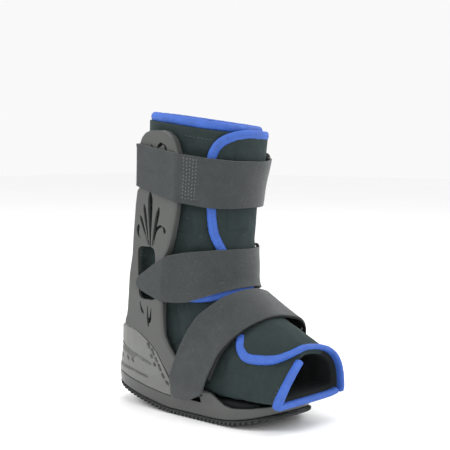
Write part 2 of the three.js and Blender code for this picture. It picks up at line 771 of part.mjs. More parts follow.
// Upper and middle strap: place along the strap (1 near end, 0 front, -1 far end) and the section
// places of the upper and lower edge.
const UPPER_STRAP = [
  [-1, 0.95, 2.25],
  [-0.9, 0.95, 2.25],
  [-0.5, 0.97, 2.5],
  [-0.3, 1, 2.6],
  [0.3, 1, 2.6],
  [0.5, 0.98, 2.5],
  [0.9, 0.95, 2.25],
  [1, 0.95, 2.25],
];
const MIDDLE_STRAP = [
  [-1, 4.4, 5.75],
  [-0.9, 4.4, 5.75],
  [-0.5, 4.25, 6.3],
  [-0.3, 4.2, 6.7],
  [-0.2, 4.15, 6.8],
  [0.2, 4.1, 6.8],
  [0.35, 4.15, 6.75],
  [0.5, 4.3, 6.2],
  [0.6, 4.52, 5.82],
  [0.68, 4.75, 5.55],
  [0.75, 4.92, 5.34],
  [0.77, 5.03, 5.22],
];

function strapRows(table, steps) {
  const column = (n) => table.map((row) => [row[0], row[n]]);
  const far = table[0][0];
  const near = table[table.length - 1][0];
  const corners = [-0.9, -0.5, 0.5, 0.9].filter((place) => place > far && place < near);
  const places = spread(near, far, steps).filter((a) => corners.every((b) => Math.abs(a - b) > 0.012));
  const all = Math.abs(far) > 1 ? places : places.concat(corners).sort((a, b) => b - a);
  return all.map((place) => [place, between(column(1), place), between(column(2), place)]);
}

// Lower strap over the instep: turn on the liner and the section places of its rear and front edge.
const LOWER_STRAP = [
  [-97, 11.4, 12.7],
  [-89, 10.95, 12.7],
  [-77, 10.1, 12.6],
  [-65, 9, 12.5],
  [-48, 8, 12.3],
  [-32, 7.4, 11.9],
  [-8, 7.1, 11.3],
  [8, 7.1, 11.2],
  [32, 7.3, 11.3],
  [48, 7.75, 11.5],
  [59, 8.1, 11.7],
  [65, 8.75, 11.8],
  [77, 10, 12.1],
  [89, 10.9, 12.3],
  [97, 11.35, 12.5],
];
const LOWER_STRAP_FOOT = { rear: 0.468 * SOLE_LENGTH, front: 0.56 * SOLE_LENGTH, z: 0.067 * SHELL_HEIGHT };

function makeLowerStrap() {
  const across = 5;
  const around = strapRows(LOWER_STRAP, 26);
  const foot = (side, share, lift) => {
    const { rear, front, z } = LOWER_STRAP_FOOT;
    const x = rear + (front - rear) * share;
    return new THREE.Vector3(x, -side * (wallHalf(x, z) + GAP + lift), z);
  };
  const row = ([turn, rear, front], lift) =>
    spread(0, 1, across).map((share) => onLiner(rear + (front - rear) * share, turn, STRAP_LIFT + lift));
  const rows = (lift) => {
    const bent = around.map((edge) => row(edge, lift));
    const end = (side) => spread(0, 1, across).map((share) => foot(side, share, lift));
    const halfway = (a, b) => a.map((p, n) => p.clone().lerp(b[n], 0.5));
    const near = end(1);
    const far = end(-1);
    return [near, halfway(near, bent[0]), ...bent, halfway(far, bent[bent.length - 1]), far];
  };
  const inner = rows(0);
  const outer = rows(STRAP_THICKNESS);
  return sheet(inner.length - 1, across, (i, j) => outer[i][j], (i, j) => inner[i][j]);
}

// Flat-barred ring round a strap. surface(share, lift) gives points across the strap, from its upper
// edge at 0 to its lower edge at 1, and along is the strap's own direction there.
function makeRing(surface, along) {
  const width = surface(0, STRAP_LIFT).distanceTo(surface(1, STRAP_LIFT));
  const margin = RING_MARGIN / width;
  const low = STRAP_LIFT - 2 * GAP - RING_BAR / 2;
  const high = STRAP_LIFT + STRAP_THICKNESS + 2 * GAP + RING_BAR / 2;
  const across = spread(-margin, 1 + margin, 5);
  const outside = across.map((share) => surface(share, high));
  const inside = across.map((share) => surface(share, low)).reverse();
  const path = outside.concat(inside);
  const sections = path.map((p, i) => {
    const before = path[(i + path.length - 1) % path.length];
    const after = path[(i + 1) % path.length];
    const tangent = after.clone().sub(before).normalize();
    const normal = tangent.cross(along).normalize();
    const corner = (a, n) =>
      p
        .clone()
        .addScaledVector(along, (a * RING_DEPTH) / 2)
        .addScaledVector(normal, (n * RING_BAR) / 2);
    return [corner(-1, -1), corner(1, -1), corner(1, 1), corner(-1, 1)];
  });
  return loft(sections, true);
}

function edgesAt(table, place) {
  return [1, 2].map((n) => between(table.map((row) => [row[0], row[n]]), place));
}

function uprightRing(table, place) {
  const [top, bottom] = edgesAt(table, place);
  const surface = (share, lift) => onStrap(top + (bottom - top) * share, place, lift);
  const middle = (top + bottom) / 2;
  const step = 0.04;
  const along = onStrap(middle, place - step, STRAP_LIFT).sub(onStrap(middle, place + step, STRAP_LIFT));
  return makeRing(surface, along.normalize());
}

function lowerRing(turn) {
  const [rear, front] = edgesAt(LOWER_STRAP, turn);
  const surface = (share, lift) => onLiner(rear + (front - rear) * share, turn, lift);
  const middle = (rear + front) / 2;
  const step = 4;
  const along = onLiner(middle, turn - step, STRAP_LIFT).sub(onLiner(middle, turn + step, STRAP_LIFT));
  return makeRing(surface, along.normalize());
}

function finish(color, roughness, metalness = 0) {
  return new THREE.MeshStandardMaterial({ color, roughness, metalness });
}
const shellPlastic = finish(0x66686a, 0.42);
const capPlastic = finish(0x84857f, 0.45);
const rubber = finish(0x3c3e3c, 0.85);
const foam = finish(0x2b3433, 0.95);
const lining = finish(0x27302f, 0.95);
const bound = finish(0x2f5fc8, 0.6);
const webbing = finish(0x50565a, 0.85);
const blackPlastic = finish(0x101112, 0.4);

const pieces = [
  ["outsole", makeTread(), rubber],
  ["sole_pan", makePan(), shellPlastic],
  ["heel_cap", makeHeelCap(), capPlastic],
  ["upright_near", makeUpright(-1), shellPlastic],
  ["upright_far", makeUpright(1), shellPlastic],
  ["insole", makeInsole(), lining],
  ["liner", makeLiner(), foam],
  ["shaft_flap", makeFlap(SHAFT_FLAP_EDGE, SHAFT_FLAP_FAR, 14, 10, 1.6), foam],
  ["foot_flap", makeFlap(FOOT_FLAP_EDGE, FOOT_FLAP_FAR, 11, 14), foam],
  ["collar_binding", makeBinding(COLLAR_ROUTE, -PADDING / 2, COLLAR_BINDING_RADIUS, 28, true), bound],
  ["shaft_flap_binding", makeBinding(SHAFT_BINDING, FLAP_LIFT + BINDING_RADIUS, BINDING_RADIUS, 30), bound],
  ["ankle_binding", makeBinding(ANKLE_BINDING, FLAP_LIFT + BINDING_RADIUS * 0.8, BINDING_RADIUS * 0.8, 18), bound],
  ["foot_flap_binding", makeBinding(FOOT_BINDING, FLAP_LIFT + GAP + BINDING_RADIUS, BINDING_RADIUS, 32), bound],
  ["toe_binding", makeBinding(TOE_BINDING, -PADDING / 2, BINDING_RADIUS * 1.15, 28), bound],
  ["upper_strap", makeUprightStrap(strapRows(UPPER_STRAP, 40), 2), webbing],
  ["middle_strap", makeUprightStrap(strapRows(MIDDLE_STRAP, 36), 2), webbing],
  ["lower_strap", makeLowerStrap(), webbing],
  ["upper_ring", uprightRing(UPPER_STRAP, -0.36), blackPlastic],
  ["middle_ring", uprightRing(MIDDLE_STRAP, -0.34), blackPlastic],
  ["lower_ring", lowerRing(-45), blackPlastic],
];

const boot = new THREE.Group();
for (const [name, geometry, material] of pieces) {
  const mesh = new THREE.Mesh(geometry, material);
  mesh.name = name;
  boot.add(mesh);
}

// The frame's origin lies under the middle of the whole boot, on the floor.
const box = new THREE.Box3().setFromObject(boot);
boot.position.set(-(box.min.x + box.max.x) / 2, -(box.min.y + box.max.y) / 2, -box.min.z);

export default boot;
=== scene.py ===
"""Looks of the short walking boot: a padded wrap liner with bound edges in a moulded shell, with
its straps, rings, stitching and tread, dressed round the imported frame, and the stage it stands on.
Lengths are in millimetres along the sole from the heel's back, and go to metres at the end."""

import math
from bisect import bisect_left
from functools import lru_cache

import bmesh
import bpy
from bpy.props import FloatProperty, FloatVectorProperty, PointerProperty
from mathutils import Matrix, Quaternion, Vector, noise


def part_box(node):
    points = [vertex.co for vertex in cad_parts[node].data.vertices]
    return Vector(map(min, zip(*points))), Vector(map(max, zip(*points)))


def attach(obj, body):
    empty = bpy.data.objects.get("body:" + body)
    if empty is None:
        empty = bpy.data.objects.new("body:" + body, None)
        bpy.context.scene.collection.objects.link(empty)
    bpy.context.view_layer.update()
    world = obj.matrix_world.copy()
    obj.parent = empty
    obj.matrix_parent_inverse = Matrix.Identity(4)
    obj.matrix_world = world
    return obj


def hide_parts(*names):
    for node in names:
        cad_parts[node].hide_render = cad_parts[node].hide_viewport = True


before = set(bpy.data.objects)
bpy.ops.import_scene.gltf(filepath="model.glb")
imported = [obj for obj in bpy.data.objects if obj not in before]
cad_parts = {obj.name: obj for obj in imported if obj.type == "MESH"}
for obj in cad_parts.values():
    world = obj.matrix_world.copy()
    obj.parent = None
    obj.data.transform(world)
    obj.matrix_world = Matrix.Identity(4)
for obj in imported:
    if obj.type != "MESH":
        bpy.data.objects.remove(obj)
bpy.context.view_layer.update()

bl_info = {
    "name": "Walking boot",
    "version": (1, 0, 0),
    "blender": (4, 5, 0),
    "location": "View3D > Sidebar > Boot",
    "description": "Builds a short walking boot with its liner, shell and straps",
    "category": "Add Mesh",
}

MM = 0.001
HEEL_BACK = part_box("outsole")[0].x / MM

# Sole and shell
SOLE_LENGTH = 203
SOLE_HALF_WIDTH = 43
HEEL_RISE = 19
TOE_RISE = 12
TREAD_THICKNESS = 4
TOOTH_DEPTH = 3
TOOTH_PITCH = 4.8
PAN_FLOOR = 3
PAN_FLOOR_HEIGHT = 15
SHELL_WALL = 3
SHELL_HEIGHT = 254
FLANGE_DEPTH = 8
INSOLE_THICKNESS = 6
UPRIGHT_FOOT = 24
PAN_SKIRT = 12

# Liner, straps and what holds them
LINER_SEAT = 22.05
LINER_LENGTH = 212
LINER_RISE = 247.95
LINER_HALF_WIDTH = 44
PADDING = 7
COLLAR_TILT = 2.7
BACK_FULLNESS = 4.8
FLAP_LIFT = 1.05
FLAP_THICKNESS = 2.6
BINDING_RADIUS = 2.8
COLLAR_BINDING_WIDTH = 8.4
COLLAR_BINDING_HEIGHT = 7.4
STRAP_THICKNESS = 2
STRAP_LIFT = 7
STRAP_RETURN = 11
STRAP_STEPS = 100
STRAP_ROUNDING = 2
UPPER_LIFT = 10
MIDDLE_LIFT = 8.5
LOWER_LIFT = 10
SHELL_LIFT = 9.0
HOOK_TAPE_THICKNESS = 0.0011
HOOK_TAPE_GAP = 0.05
RING_BAR = 2.2
RING_MARGIN = 3.2
RING_DEPTH = 5
RING_TURN = -45
GAP = 0.35

SOLE_PLAN = [
    (0, 0.14), (0.007, 0.3), (0.04, 0.58), (0.108, 0.78), (0.227, 0.872), (0.375, 0.895),
    (0.522, 0.93), (0.695, 0.985), (0.808, 1), (0.887, 0.85), (0.946, 0.593), (0.985, 0.3),
    (1, 0.14),
]
FLARE = [
    (0.03, 1), (0.094, 1.07), (0.134, 1.16), (0.177, 1.19), (0.252, 1.235), (0.315, 1.28),
    (0.421, 1.335), (1, 1.41),
]
HEEL_TUCK = [(0.1, 1), (0.2, 0.81), (0.31, 0.7)]
HEEL_SPAN = 0.227 * SOLE_LENGTH
RIM = [
    (0.637, 0.116), (0.685, 0.11), (0.72, 0.0906), (0.754, 0.0748), (0.8, 0.0685),
    (0.88, 0.0724), (1, 0.0906),
]
RIDGE = [
    (0.217, 0.298), (0.246, 0.291), (0.276, 0.279), (0.33, 0.249), (0.369, 0.22),
    (0.404, 0.177), (0.438, 0.134), (0.46, 0.104), (0.468, 0.0945),
]
SKIRT_END = 0.43 * SOLE_LENGTH
UPRIGHT_FRONT = 0.633 * SOLE_LENGTH

# Edges of the side plate: height, rear and front as shares of the shell.
UPRIGHT_EDGES = [
    (1, 0.372, 0.461), (0.992, 0.342, 0.483), (0.976, 0.32, 0.505), (0.955, 0.307, 0.518),
    (0.944, 0.312, 0.523), (0.921, 0.311, 0.534), (0.866, 0.308, 0.532), (0.806, 0.304, 0.526),
    (0.79, 0.284, 0.524), (0.744, 0.272, 0.519), (0.693, 0.263, 0.505), (0.626, 0.251, 0.481),
    (0.563, 0.242, 0.451), (0.488, 0.22, 0.431), (0.421, 0.211, 0.424), (0.366, 0.199, 0.419),
    (0.342, 0.191, 0.419), (0.322, 0.179, 0.419), (0.304, 0.175, 0.42), (0.29, 0.246, 0.422),
    (0.278, 0.276, 0.425), (0.249, 0.33, 0.446), (0.22, 0.369, 0.476), (0.196, 0.388, 0.507),
    (0.177, 0.404, 0.532), (0.158, 0.42, 0.57), (0.134, 0.438, 0.61), (0.118, 0.449, 0.631),
    (0.0959, 0.463, 0.632),
]
FLANGE_REACH = [(0.25, 0), (0.45, 0.58), (0.97, 0.58), (1, 0.3)]

# Liner sections: front x and z, back x and z (shares of length and rise), half width, the widest
# place on the far and the near side, and the roundness of near front, far front and back corners.
LINER_SECTIONS = [
    (0.689, 0.934, 0.2, 0.988, 1, 0.5, 0.5, 2.25, 2.25, 2.25),
    (0.677, 0.831, 0.198, 0.899, 1.01, 0.5, 0.5, 2.25, 2.25, 2.25),
    (0.644, 0.73, 0.177, 0.782, 1.01, 0.5, 0.5, 2.25, 2.25, 2.25),
    (0.627, 0.621, 0.163, 0.653, 0.977, 0.5, 0.5, 2.25, 2.25, 2.6),
    (0.623, 0.524, 0.155, 0.516, 0.955, 0.5, 0.5, 2.25, 2.25, 3),
    (0.63, 0.444, 0.144, 0.387, 0.943, 0.5, 0.5, 2.25, 2.25, 3),
    (0.632, 0.395, 0.118, 0.266, 0.955, 0.5, 0.5, 2.25, 2.25, 2.9),
    (0.65, 0.363, 0.092, 0.161, 0.966, 0.5, 0.5, 2.25, 2.25, 2.7),
    (0.69, 0.337, 0.073, 0.081, 0.966, 0.5, 0.5, 2.25, 2.25, 2.6),
    (0.722, 0.317, 0.09, 0.02, 0.966, 0.54, 0.54, 2.2, 2.2, 3),
    (0.757, 0.296, 0.17, 0, 0.943, 0.6, 0.6, 2.2, 2.2, 3.5),
    (0.792, 0.276, 0.321, 0, 0.943, 0.65, 0.65, 2.2, 2.2, 4),
    (0.83, 0.256, 0.524, 0, 0.955, 0.68, 0.68, 2.2, 2.2, 4.5),
    (0.873, 0.234, 0.722, 0, 0.966, 0.7, 0.71, 2, 2.2, 5),
    (0.917, 0.209, 0.868, 0.004, 0.977, 0.72, 0.77, 1.75, 2.3, 5),
    (0.957, 0.192, 0.955, 0.01, 0.989, 0.75, 0.87, 1.4, 2.4, 5),
    (0.983, 0.181, 0.998, 0.01, 1, 0.75, 0.95, 1.15, 2.5, 5),
]

# Edges of the front panels and routes of the bindings: section place and turn in degrees.
SHAFT_BINDING = [
    (0.18, -50), (0.14, -20), (0.12, 0), (0.17, 14), (0.34, 30), (0.62, 41), (1, 45.5),
    (1.5, 45), (2, 42), (2.6, 38.5), (3, 37), (3.5, 34), (4, 27), (4.6, 19), (5.6, 10),
    (6.2, 4),
]
SHAFT_FLAP_NEAR = SHAFT_BINDING[2:]
ANKLE_BINDING = [
    (6.1, 74), (6.3, 66), (6.58, 57), (6.84, 47), (7.02, 36), (7.1, 20), (7.12, 4), (7.12, -12),
]
FOOT_BINDING = [
    (11.5, 40), (11.95, 47), (12.4, 54), (12.9, 58), (13.4, 54.5), (14.2, 44), (14.85, 30),
    (15.4, 15), (15.8, 0), (16.03, -18), (16.08, -40), (16.03, -65), (15.97, -92),
    (15.93, -122),
]
TOE_BINDING = [
    (15.9, -122), (15.84, -134), (15.82, -146), (15.8, -165), (15.8, -180), (15.8, -195),
    (15.82, -215), (15.86, -232), (15.9, -248), (15.95, -265), (15.98, -282), (16, -300),
    (16, -318), (16, -334),
]

# Straps: place along (1 near end, 0 front, -1 far end) and section places of both edges.
UPPER_STRAP = [
    (-1, 0.95, 2.25), (-0.9, 0.95, 2.25), (-0.5, 0.97, 2.5), (-0.3, 1, 2.6), (0.3, 1, 2.6),
    (0.5, 0.98, 2.5), (0.9, 0.95, 2.25), (1, 0.95, 2.25),
]
MIDDLE_STRAP = [
    (-1, 4.4, 5.75), (-0.9, 4.4, 5.75), (-0.5, 4.25, 6.3), (-0.3, 4.2, 6.7), (-0.2, 4.15, 6.8),
    (0.2, 4.1, 6.8), (0.35, 4.15, 6.75), (0.5, 4.3, 6.2), (0.6, 4.52, 5.82), (0.68, 4.75, 5.55),
    (0.75, 4.92, 5.34), (0.77, 5.03, 5.22),
]
# Shares along each strap's path where its stretches change: round the liner's front, across to the
# upright's rear edge, and back in round that edge.
STRAP_CORNERS = (0, 0.5, 0.9, 1)
# Lower strap: turn on the liner and section places of its rear and front edge.
LOWER_STRAP = [
    (-97, 11.4, 12.7), (-89, 10.95, 12.7), (-77, 10.1, 12.6), (-65, 9, 12.5), (-48, 8, 12.3),
    (-32, 7.4, 11.9), (-8, 7.1, 11.3), (8, 7.1, 11.2), (32, 7.3, 11.3), (48, 7.75, 11.5),
    (59, 8.1, 11.7), (65, 8.75, 11.8), (77, 10, 12.1), (89, 10.9, 12.3), (97, 11.35, 12.5),
]
LOWER_FOOT_REAR = 0.468 * SOLE_LENGTH
LOWER_FOOT_FRONT = 0.56 * SOLE_LENGTH
LOWER_FOOT_HEIGHT = 0.067 * SHELL_HEIGHT
LOWER_END_TURN = 97
LOWER_END_SHARE = 0.09
# Slot in the pan's side that the lower strap goes into: its lowest and highest corner.
PAN_SLOT = ((109, 0, 16.2), (126, 0, 21.5))
PAN_SLOT_SIDE = 20

# Sprig of tapered vents in the side plate: foot, bend and tip as shares of sole and height, width.
VENTS = [
    ((0.362, 0.594), (0.366, 0.7), (0.372, 0.79), 5.6),
    ((0.354, 0.6), (0.34, 0.68), (0.331, 0.745), 3.2),
    ((0.35, 0.6), (0.325, 0.66), (0.305, 0.705), 2.8),
    ((0.374, 0.598), (0.392, 0.66), (0.423, 0.735), 4.2),
    ((0.306, 0.618), (0.276, 0.64), (0.297, 0.672), 3.4),
    ((0.384, 0.6), (0.398, 0.675), (0.437, 0.668), 2.6),
    ((0.437, 0.668), (0.452, 0.664), (0.452, 0.643), 3),
    ((0.288, 0.4), (0.29, 0.372), (0.305, 0.352), 2.6),
    ((0.336, 0.398), (0.328, 0.35), (0.331, 0.306), 2.2),
    ((0.356, 0.376), (0.35, 0.35), (0.338, 0.32), 2.6),
    ((0.383, 0.958), (0.386, 0.945), (0.39, 0.93), 2.4),
    ((0.418, 0.925), (0.42, 0.952), (0.452, 0.953), 3.6),
    ((0.452, 0.953), (0.474, 0.948), (0.468, 0.925), 2.8),
]
WINDOW_CENTRE = (0.337 * SOLE_LENGTH, 0.5 * SHELL_HEIGHT)
WINDOW_WIDTH = 22
WINDOW_HEIGHT = 48


# Tables and curves


def between(table, x, column=1):
    """Value at x of a table, straight between its rows, which go up in their first column."""
    if x <= table[0][0]:
        return table[0][column]
    if x >= table[-1][0]:
        return table[-1][column]
    n = bisect_left([row[0] for row in table], x)
    low, high = table[n - 1], table[n]
    return low[column] + (high[column] - low[column]) * (x - low[0]) / (high[0] - low[0])


def smooth_row(table, place, clamped=False):
    """Row at any place in a table, on one smooth curve through the rows."""
    last = len(table) - 1
    i = min(max(int(place), 0), last - 1)
    f = place - i
    b, c = table[i], table[i + 1]
    a = table[i - 1] if i > 0 else (b if clamped else [2 * p - q for p, q in zip(b, c)])
    d = table[i + 2] if i + 2 <= last else (c if clamped else [2 * q - p for p, q in zip(b, c)])

    def curve(p0, p1, p2, p3):
        bend = 2 * p0 - 5 * p1 + 4 * p2 - p3 + f * (3 * (p1 - p2) + p3 - p0)
        return p1 + 0.5 * f * (p2 - p0 + f * bend)

    return [curve(*points) for points in zip(a, b, c, d)]


def ease(low, high, x):
    """0 below low, 1 above high, and smooth between."""
    t = min(max((x - low) / (high - low), 0), 1)
    return t * t * (3 - 2 * t)


def mix(a, b, t):
    return a + (b - a) * t


def spread(start, end, count):
    return [start + (end - start) * i / count for i in range(count + 1)]


def soften(row, times):
    """Row of points drawn towards their neighbours, with both ends kept."""
    for _ in range(times):
        inner = [(a + 2 * b + c) / 4 for a, b, c in zip(row, row[1:], row[2:])]
        row = [row[0], *inner, row[-1]]
    return row


def from_front(degrees):
    """The same turn counted from the front, from -180 to 180."""
    return (degrees + 180) % 360 - 180


PLAN_STATIONS = 28
PLAN_ROWS = [smooth_row(SOLE_PLAN, p, True) for p in spread(0, len(SOLE_PLAN) - 1, PLAN_STATIONS)]
PLAN_TABLE = [(x * SOLE_LENGTH, half * SOLE_HALF_WIDTH) for x, half in PLAN_ROWS]
FLAT_START = 0.414 * SOLE_LENGTH
FLAT_END = 0.65 * SOLE_LENGTH


def plan_half(x):
    return between(PLAN_TABLE, x)


def flare(z):
    return between(FLARE, z / SHELL_HEIGHT)


def wall_half(x, z):
    return plan_half(x) * flare(z)


def tucked(x, z):
    if x >= HEEL_SPAN:
        return x
    return HEEL_SPAN - (HEEL_SPAN - x) * between(HEEL_TUCK, z / SHELL_HEIGHT)


def rocker(x):
    if x < FLAT_START:
        return HEEL_RISE * ((FLAT_START - x) / FLAT_START) ** 1.35
    if x > FLAT_END:
        return TOE_RISE * ((x - FLAT_END) / (SOLE_LENGTH - FLAT_END)) ** 2
    return 0


def pan_bottom(x):
    return rocker(x) + TREAD_THICKNESS + GAP


def floor_top(x):
    return max(PAN_FLOOR_HEIGHT, pan_bottom(x) + PAN_FLOOR)


def rim_top(x):
    if x < SKIRT_END:
        return min(pan_bottom(x) + PAN_SKIRT, UPRIGHT_FOOT + rocker(x) * 0.4)
    if x < UPRIGHT_FRONT + GAP:
        return UPRIGHT_FOOT
    return between(RIM, x / SOLE_LENGTH) * SHELL_HEIGHT


def ridge_top(x):
    return between(RIDGE, x / SOLE_LENGTH) * SHELL_HEIGHT


UPRIGHT_REAR = sorted((z * SHELL_HEIGHT, rear * SOLE_LENGTH) for z, rear, _ in UPRIGHT_EDGES)
UPRIGHT_FORE = sorted((z * SHELL_HEIGHT, fore * SOLE_LENGTH) for z, _, fore in UPRIGHT_EDGES)


def to_frame(point):
    """A point of the boot's own millimetres in the frame's metres."""
    return Vector((point[0] + HEEL_BACK, point[1], point[2])) * MM


@lru_cache(maxsize=None)
def section_row(s):
    return smooth_row(LINER_SECTIONS, s)


def section_ends(s):
    fx, fz, bx, bz = section_row(s)[:4]
    front = Vector((fx * LINER_LENGTH, 0, LINER_SEAT + fz * LINER_RISE))
    back = Vector((bx * LINER_LENGTH, 0, LINER_SEAT + bz * LINER_RISE))
    return front, back


def on_liner(s, degrees, lift=0.0):
    """Point on the liner at a section place and turn (0 front, 90 near side, 180 back)."""
    row = section_row(round(s, 5))
    front, back = section_ends(round(s, 5))
    axis = (back - front).normalized()
    front = front - axis * lift
    back = back + axis * lift
    c = math.cos(math.radians(degrees))
    q = math.sin(math.radians(degrees))
    belly = row[6] if q > 0 else row[5]
    side_round = row[7] if q > 0 else row[8]
    full = ease(2.4, 3.6, s) * (1 - ease(8, 10, s))
    roundness = side_round if c > 0 else mix(row[9], BACK_FULLNESS, full)
    reach = abs(c) ** (2 / roundness)
    share = belly * (1 - reach) if c > 0 else belly + (1 - belly) * reach
    point = front.lerp(back, share)
    half = row[4] * LINER_HALF_WIDTH + lift
    point.y = -math.copysign(half * abs(q) ** (2 / roundness), q)
    point.z += COLLAR_TILT * q * (1 - ease(0, 1.6, s))
    return point


def outline(points):
    """Convex outline of a set of (along, across) pairs."""
    ordered = sorted(points)

    def turn(o, a, b):
        return (a[0] - o[0]) * (b[1] - o[1]) - (a[1] - o[1]) * (b[0] - o[0])

    def half(row):
        kept = []
        for p in row:
            while len(kept) > 1 and turn(kept[-2], kept[-1], p) <= 0:
                kept.pop()
            kept.append(p)
        return kept[:-1]

    return half(ordered) + half(ordered[::-1])


def along_path(points, share):
    """Point at a share of the length of a path."""
    lengths = [(b - a).length for a, b in zip(points, points[1:])]
    left = share * sum(lengths)
    for a, b, length in zip(points, points[1:], lengths):
        if left <= length and length > 0:
            return a.lerp(b, left / length)
        left -= length
    return points[-1].copy()


@lru_cache(maxsize=None)
def strap_path(tenth, side, lift):
    """Strap's line in one section plane, from the front middle round the upright's rear edge."""
    s = tenth / 10
    front, back = section_ends(s)
    axis = (back - front).normalized()

    def along(table):
        place = 0
        for _ in range(6):
            place = (between(table, front.z + axis.z * place) - front.x) / axis.x
        return place

    proud = lift - STRAP_LIFT
    fore_edge = along(UPRIGHT_FORE) - 3 * GAP - proud * 0.4
    rear_edge = along(UPRIGHT_REAR) + GAP / 2 + proud * 0.75
    middle = front + axis * (fore_edge + rear_edge) / 2
    width = wall_half(middle.x, middle.z) + 3 * GAP + proud
    face = [on_liner(s, turn, lift) for turn in range(-100, 101, 5)]
    pairs = [((p - front).dot(axis), p.y) for p in face]
    hull = outline(pairs + [(fore_edge, -side * width), (rear_edge * 2, 0)])
    arc = [p for p in hull if -p[1] * side > 0 and p[0] <= fore_edge]
    arc.sort(key=lambda p: abs(p[1]))
    start = ((on_liner(s, 0, lift) - front).dot(axis), 0)
    stretches = [
        [start, *arc],
        [arc[-1], (rear_edge, -side * width)],
        [(rear_edge, -side * width), (rear_edge, -side * (width - STRAP_RETURN - proud))],
    ]
    paths = [[Vector((*(front + axis * a).xz, y)).xzy for a, y in row] for row in stretches]
    points = []
    for reach in spread(0, 1, STRAP_STEPS):
        n = 0 if reach <= STRAP_CORNERS[1] else 1 if reach <= STRAP_CORNERS[2] else 2
        share = (reach - STRAP_CORNERS[n]) / (STRAP_CORNERS[n + 1] - STRAP_CORNERS[n])
        points.append(along_path(paths[n], share))
    return soften(points, STRAP_ROUNDING)


def on_strap(s, place, lift):
    """Point on a strap: 0 at the front middle, 1 at the near end, -1 at the far end."""
    side = -1 if place < 0 else 1
    lift = round(lift, 2)
    low = math.floor(s * 10)
    step = min(abs(place), 1) * STRAP_STEPS
    n = min(int(step), STRAP_STEPS - 1)

    def point(tenth):
        path = strap_path(tenth, side, lift)
        return path[n].lerp(path[n + 1], step - n)

    return point(low).lerp(point(low + 1), s * 10 - low)


def strap_face(table, reach, u, depth=0.0, inset=0.0):
    """Point on a strap's face or depth under it: reach along it, u from its top to its foot."""
    lift, seed = (UPPER_LIFT, 1) if table is UPPER_STRAP else (MIDDLE_LIFT, 2)
    s = mix(between(table, reach, 1), between(table, reach, 2), mix(inset, 1 - inset, u))
    s += 0.03 * noise.noise(Vector((reach * 6, u * 1.5, seed)))
    free = on_strap(s, reach, lift - depth)
    return free.lerp(on_strap(s, reach, SHELL_LIFT - depth), ease(0.36, 0.52, abs(reach)))


# Meshes


def grid(rows, columns, place, cloth=None):
    """Grid of rows by columns whose corners lie at place(i, j), with a cloth(i, j) pair as UV."""
    bm = bmesh.new()
    bmesh.ops.create_grid(bm, x_segments=rows, y_segments=columns, size=0.5)
    uv = bm.loops.layers.uv.new("cloth") if cloth else None
    index = {v: (round((v.co.x + 0.5) * rows), round((v.co.y + 0.5) * columns)) for v in bm.verts}
    if cloth:
        for face in bm.faces:
            for loop in face.loops:
                loop[uv].uv = cloth(*index[loop.vert])
    for v, (i, j) in index.items():
        v.co = to_frame(place(i, j))
    bm.normal_update()
    return bm


def weld(bm, distance=1e-6):
    bmesh.ops.remove_doubles(bm, verts=bm.verts, dist=distance)
    bmesh.ops.dissolve_degenerate(bm, edges=bm.edges, dist=distance)


def close_ends(bm):
    open_edges = [e for e in bm.edges if e.is_boundary]
    bmesh.ops.holes_fill(bm, edges=open_edges, sides=0)


def mesh_object(name, bm, material, crease=40, outward=True):
    """Object from a bmesh, shaded smooth apart from edges sharper than the crease angle."""
    if outward:
        bmesh.ops.recalc_face_normals(bm, faces=bm.faces)
        if bm.calc_volume(signed=True) < 0:
            bmesh.ops.reverse_faces(bm, faces=bm.faces)
    mesh = bpy.data.meshes.new(name)
    bm.to_mesh(mesh)
    bm.free()
    mesh.materials.append(material)
    mesh.shade_smooth()
    mesh.set_sharp_from_angle(angle=math.radians(crease))
    piece = bpy.data.objects.new(name, mesh)
    bpy.context.scene.collection.objects.link(piece)
    return piece


def modify(piece, kind, **settings):
    modifier = piece.modifiers.new(kind.title(), kind)
    for key, value in settings.items():
        setattr(modifier, key, value)
    return modifier


def bake_modifiers(piece):
    """The piece's mesh with its modifiers applied."""
    graph = bpy.context.evaluated_depsgraph_get()
    mesh = bpy.data.meshes.new_from_object(piece.evaluated_get(graph), depsgraph=graph)
    piece.modifiers.clear()
    old = piece.data
    piece.data = mesh
    bpy.data.meshes.remove(old)
    mesh.name = piece.name


def settle(piece, slot, *nodes):
    """The piece rides on the boot and stands for CAD nodes; its slot is not used."""
    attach(piece, "root")
    if nodes:
        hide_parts(*nodes)
    return piece


def tube(name, count, sides, centre, across, radii, material, closed=False):
    """Round or oval cord. centre(t) is its line, across(t) a pair of crossing directions, and
    radii(t, turn) the reach along them; t goes from 0 to 1."""
    def place(i, j):
        t = i / count
        u, v = across(t)
        turn = 2 * math.pi * j / sides
        a, b = radii(t, turn)
        return centre(t) + u * a * math.cos(turn) + v * b * math.sin(turn)

    length = sum((centre((i + 1) / count) - centre(i / count)).length for i in range(count))
    girth = 2 * math.pi * radii(0.5, 0)[0]
    bm = grid(count, sides, place, lambda i, j: (i / count * length * MM, j / sides * girth * MM))
    weld(bm)
    if not closed:
        close_ends(bm)
    return mesh_object(name, bm, material, 60)


# Finishes


class Value:
    """A shader value that can stand in sums, products and comparisons."""

    def __init__(self, finish, socket):
        self.finish = finish
        self.socket = socket

    def __add__(self, other):
        return self.finish.maths("ADD", self, other)

    __radd__ = __add__

    def __sub__(self, other):
        return self.finish.maths("SUBTRACT", self, other)

    def __rsub__(self, other):
        return self.finish.maths("SUBTRACT", other, self)

    def __mul__(self, other):
        return self.finish.maths("MULTIPLY", self, other)

    __rmul__ = __mul__

    def __gt__(self, other):
        return self.finish.maths("GREATER_THAN", self, other)


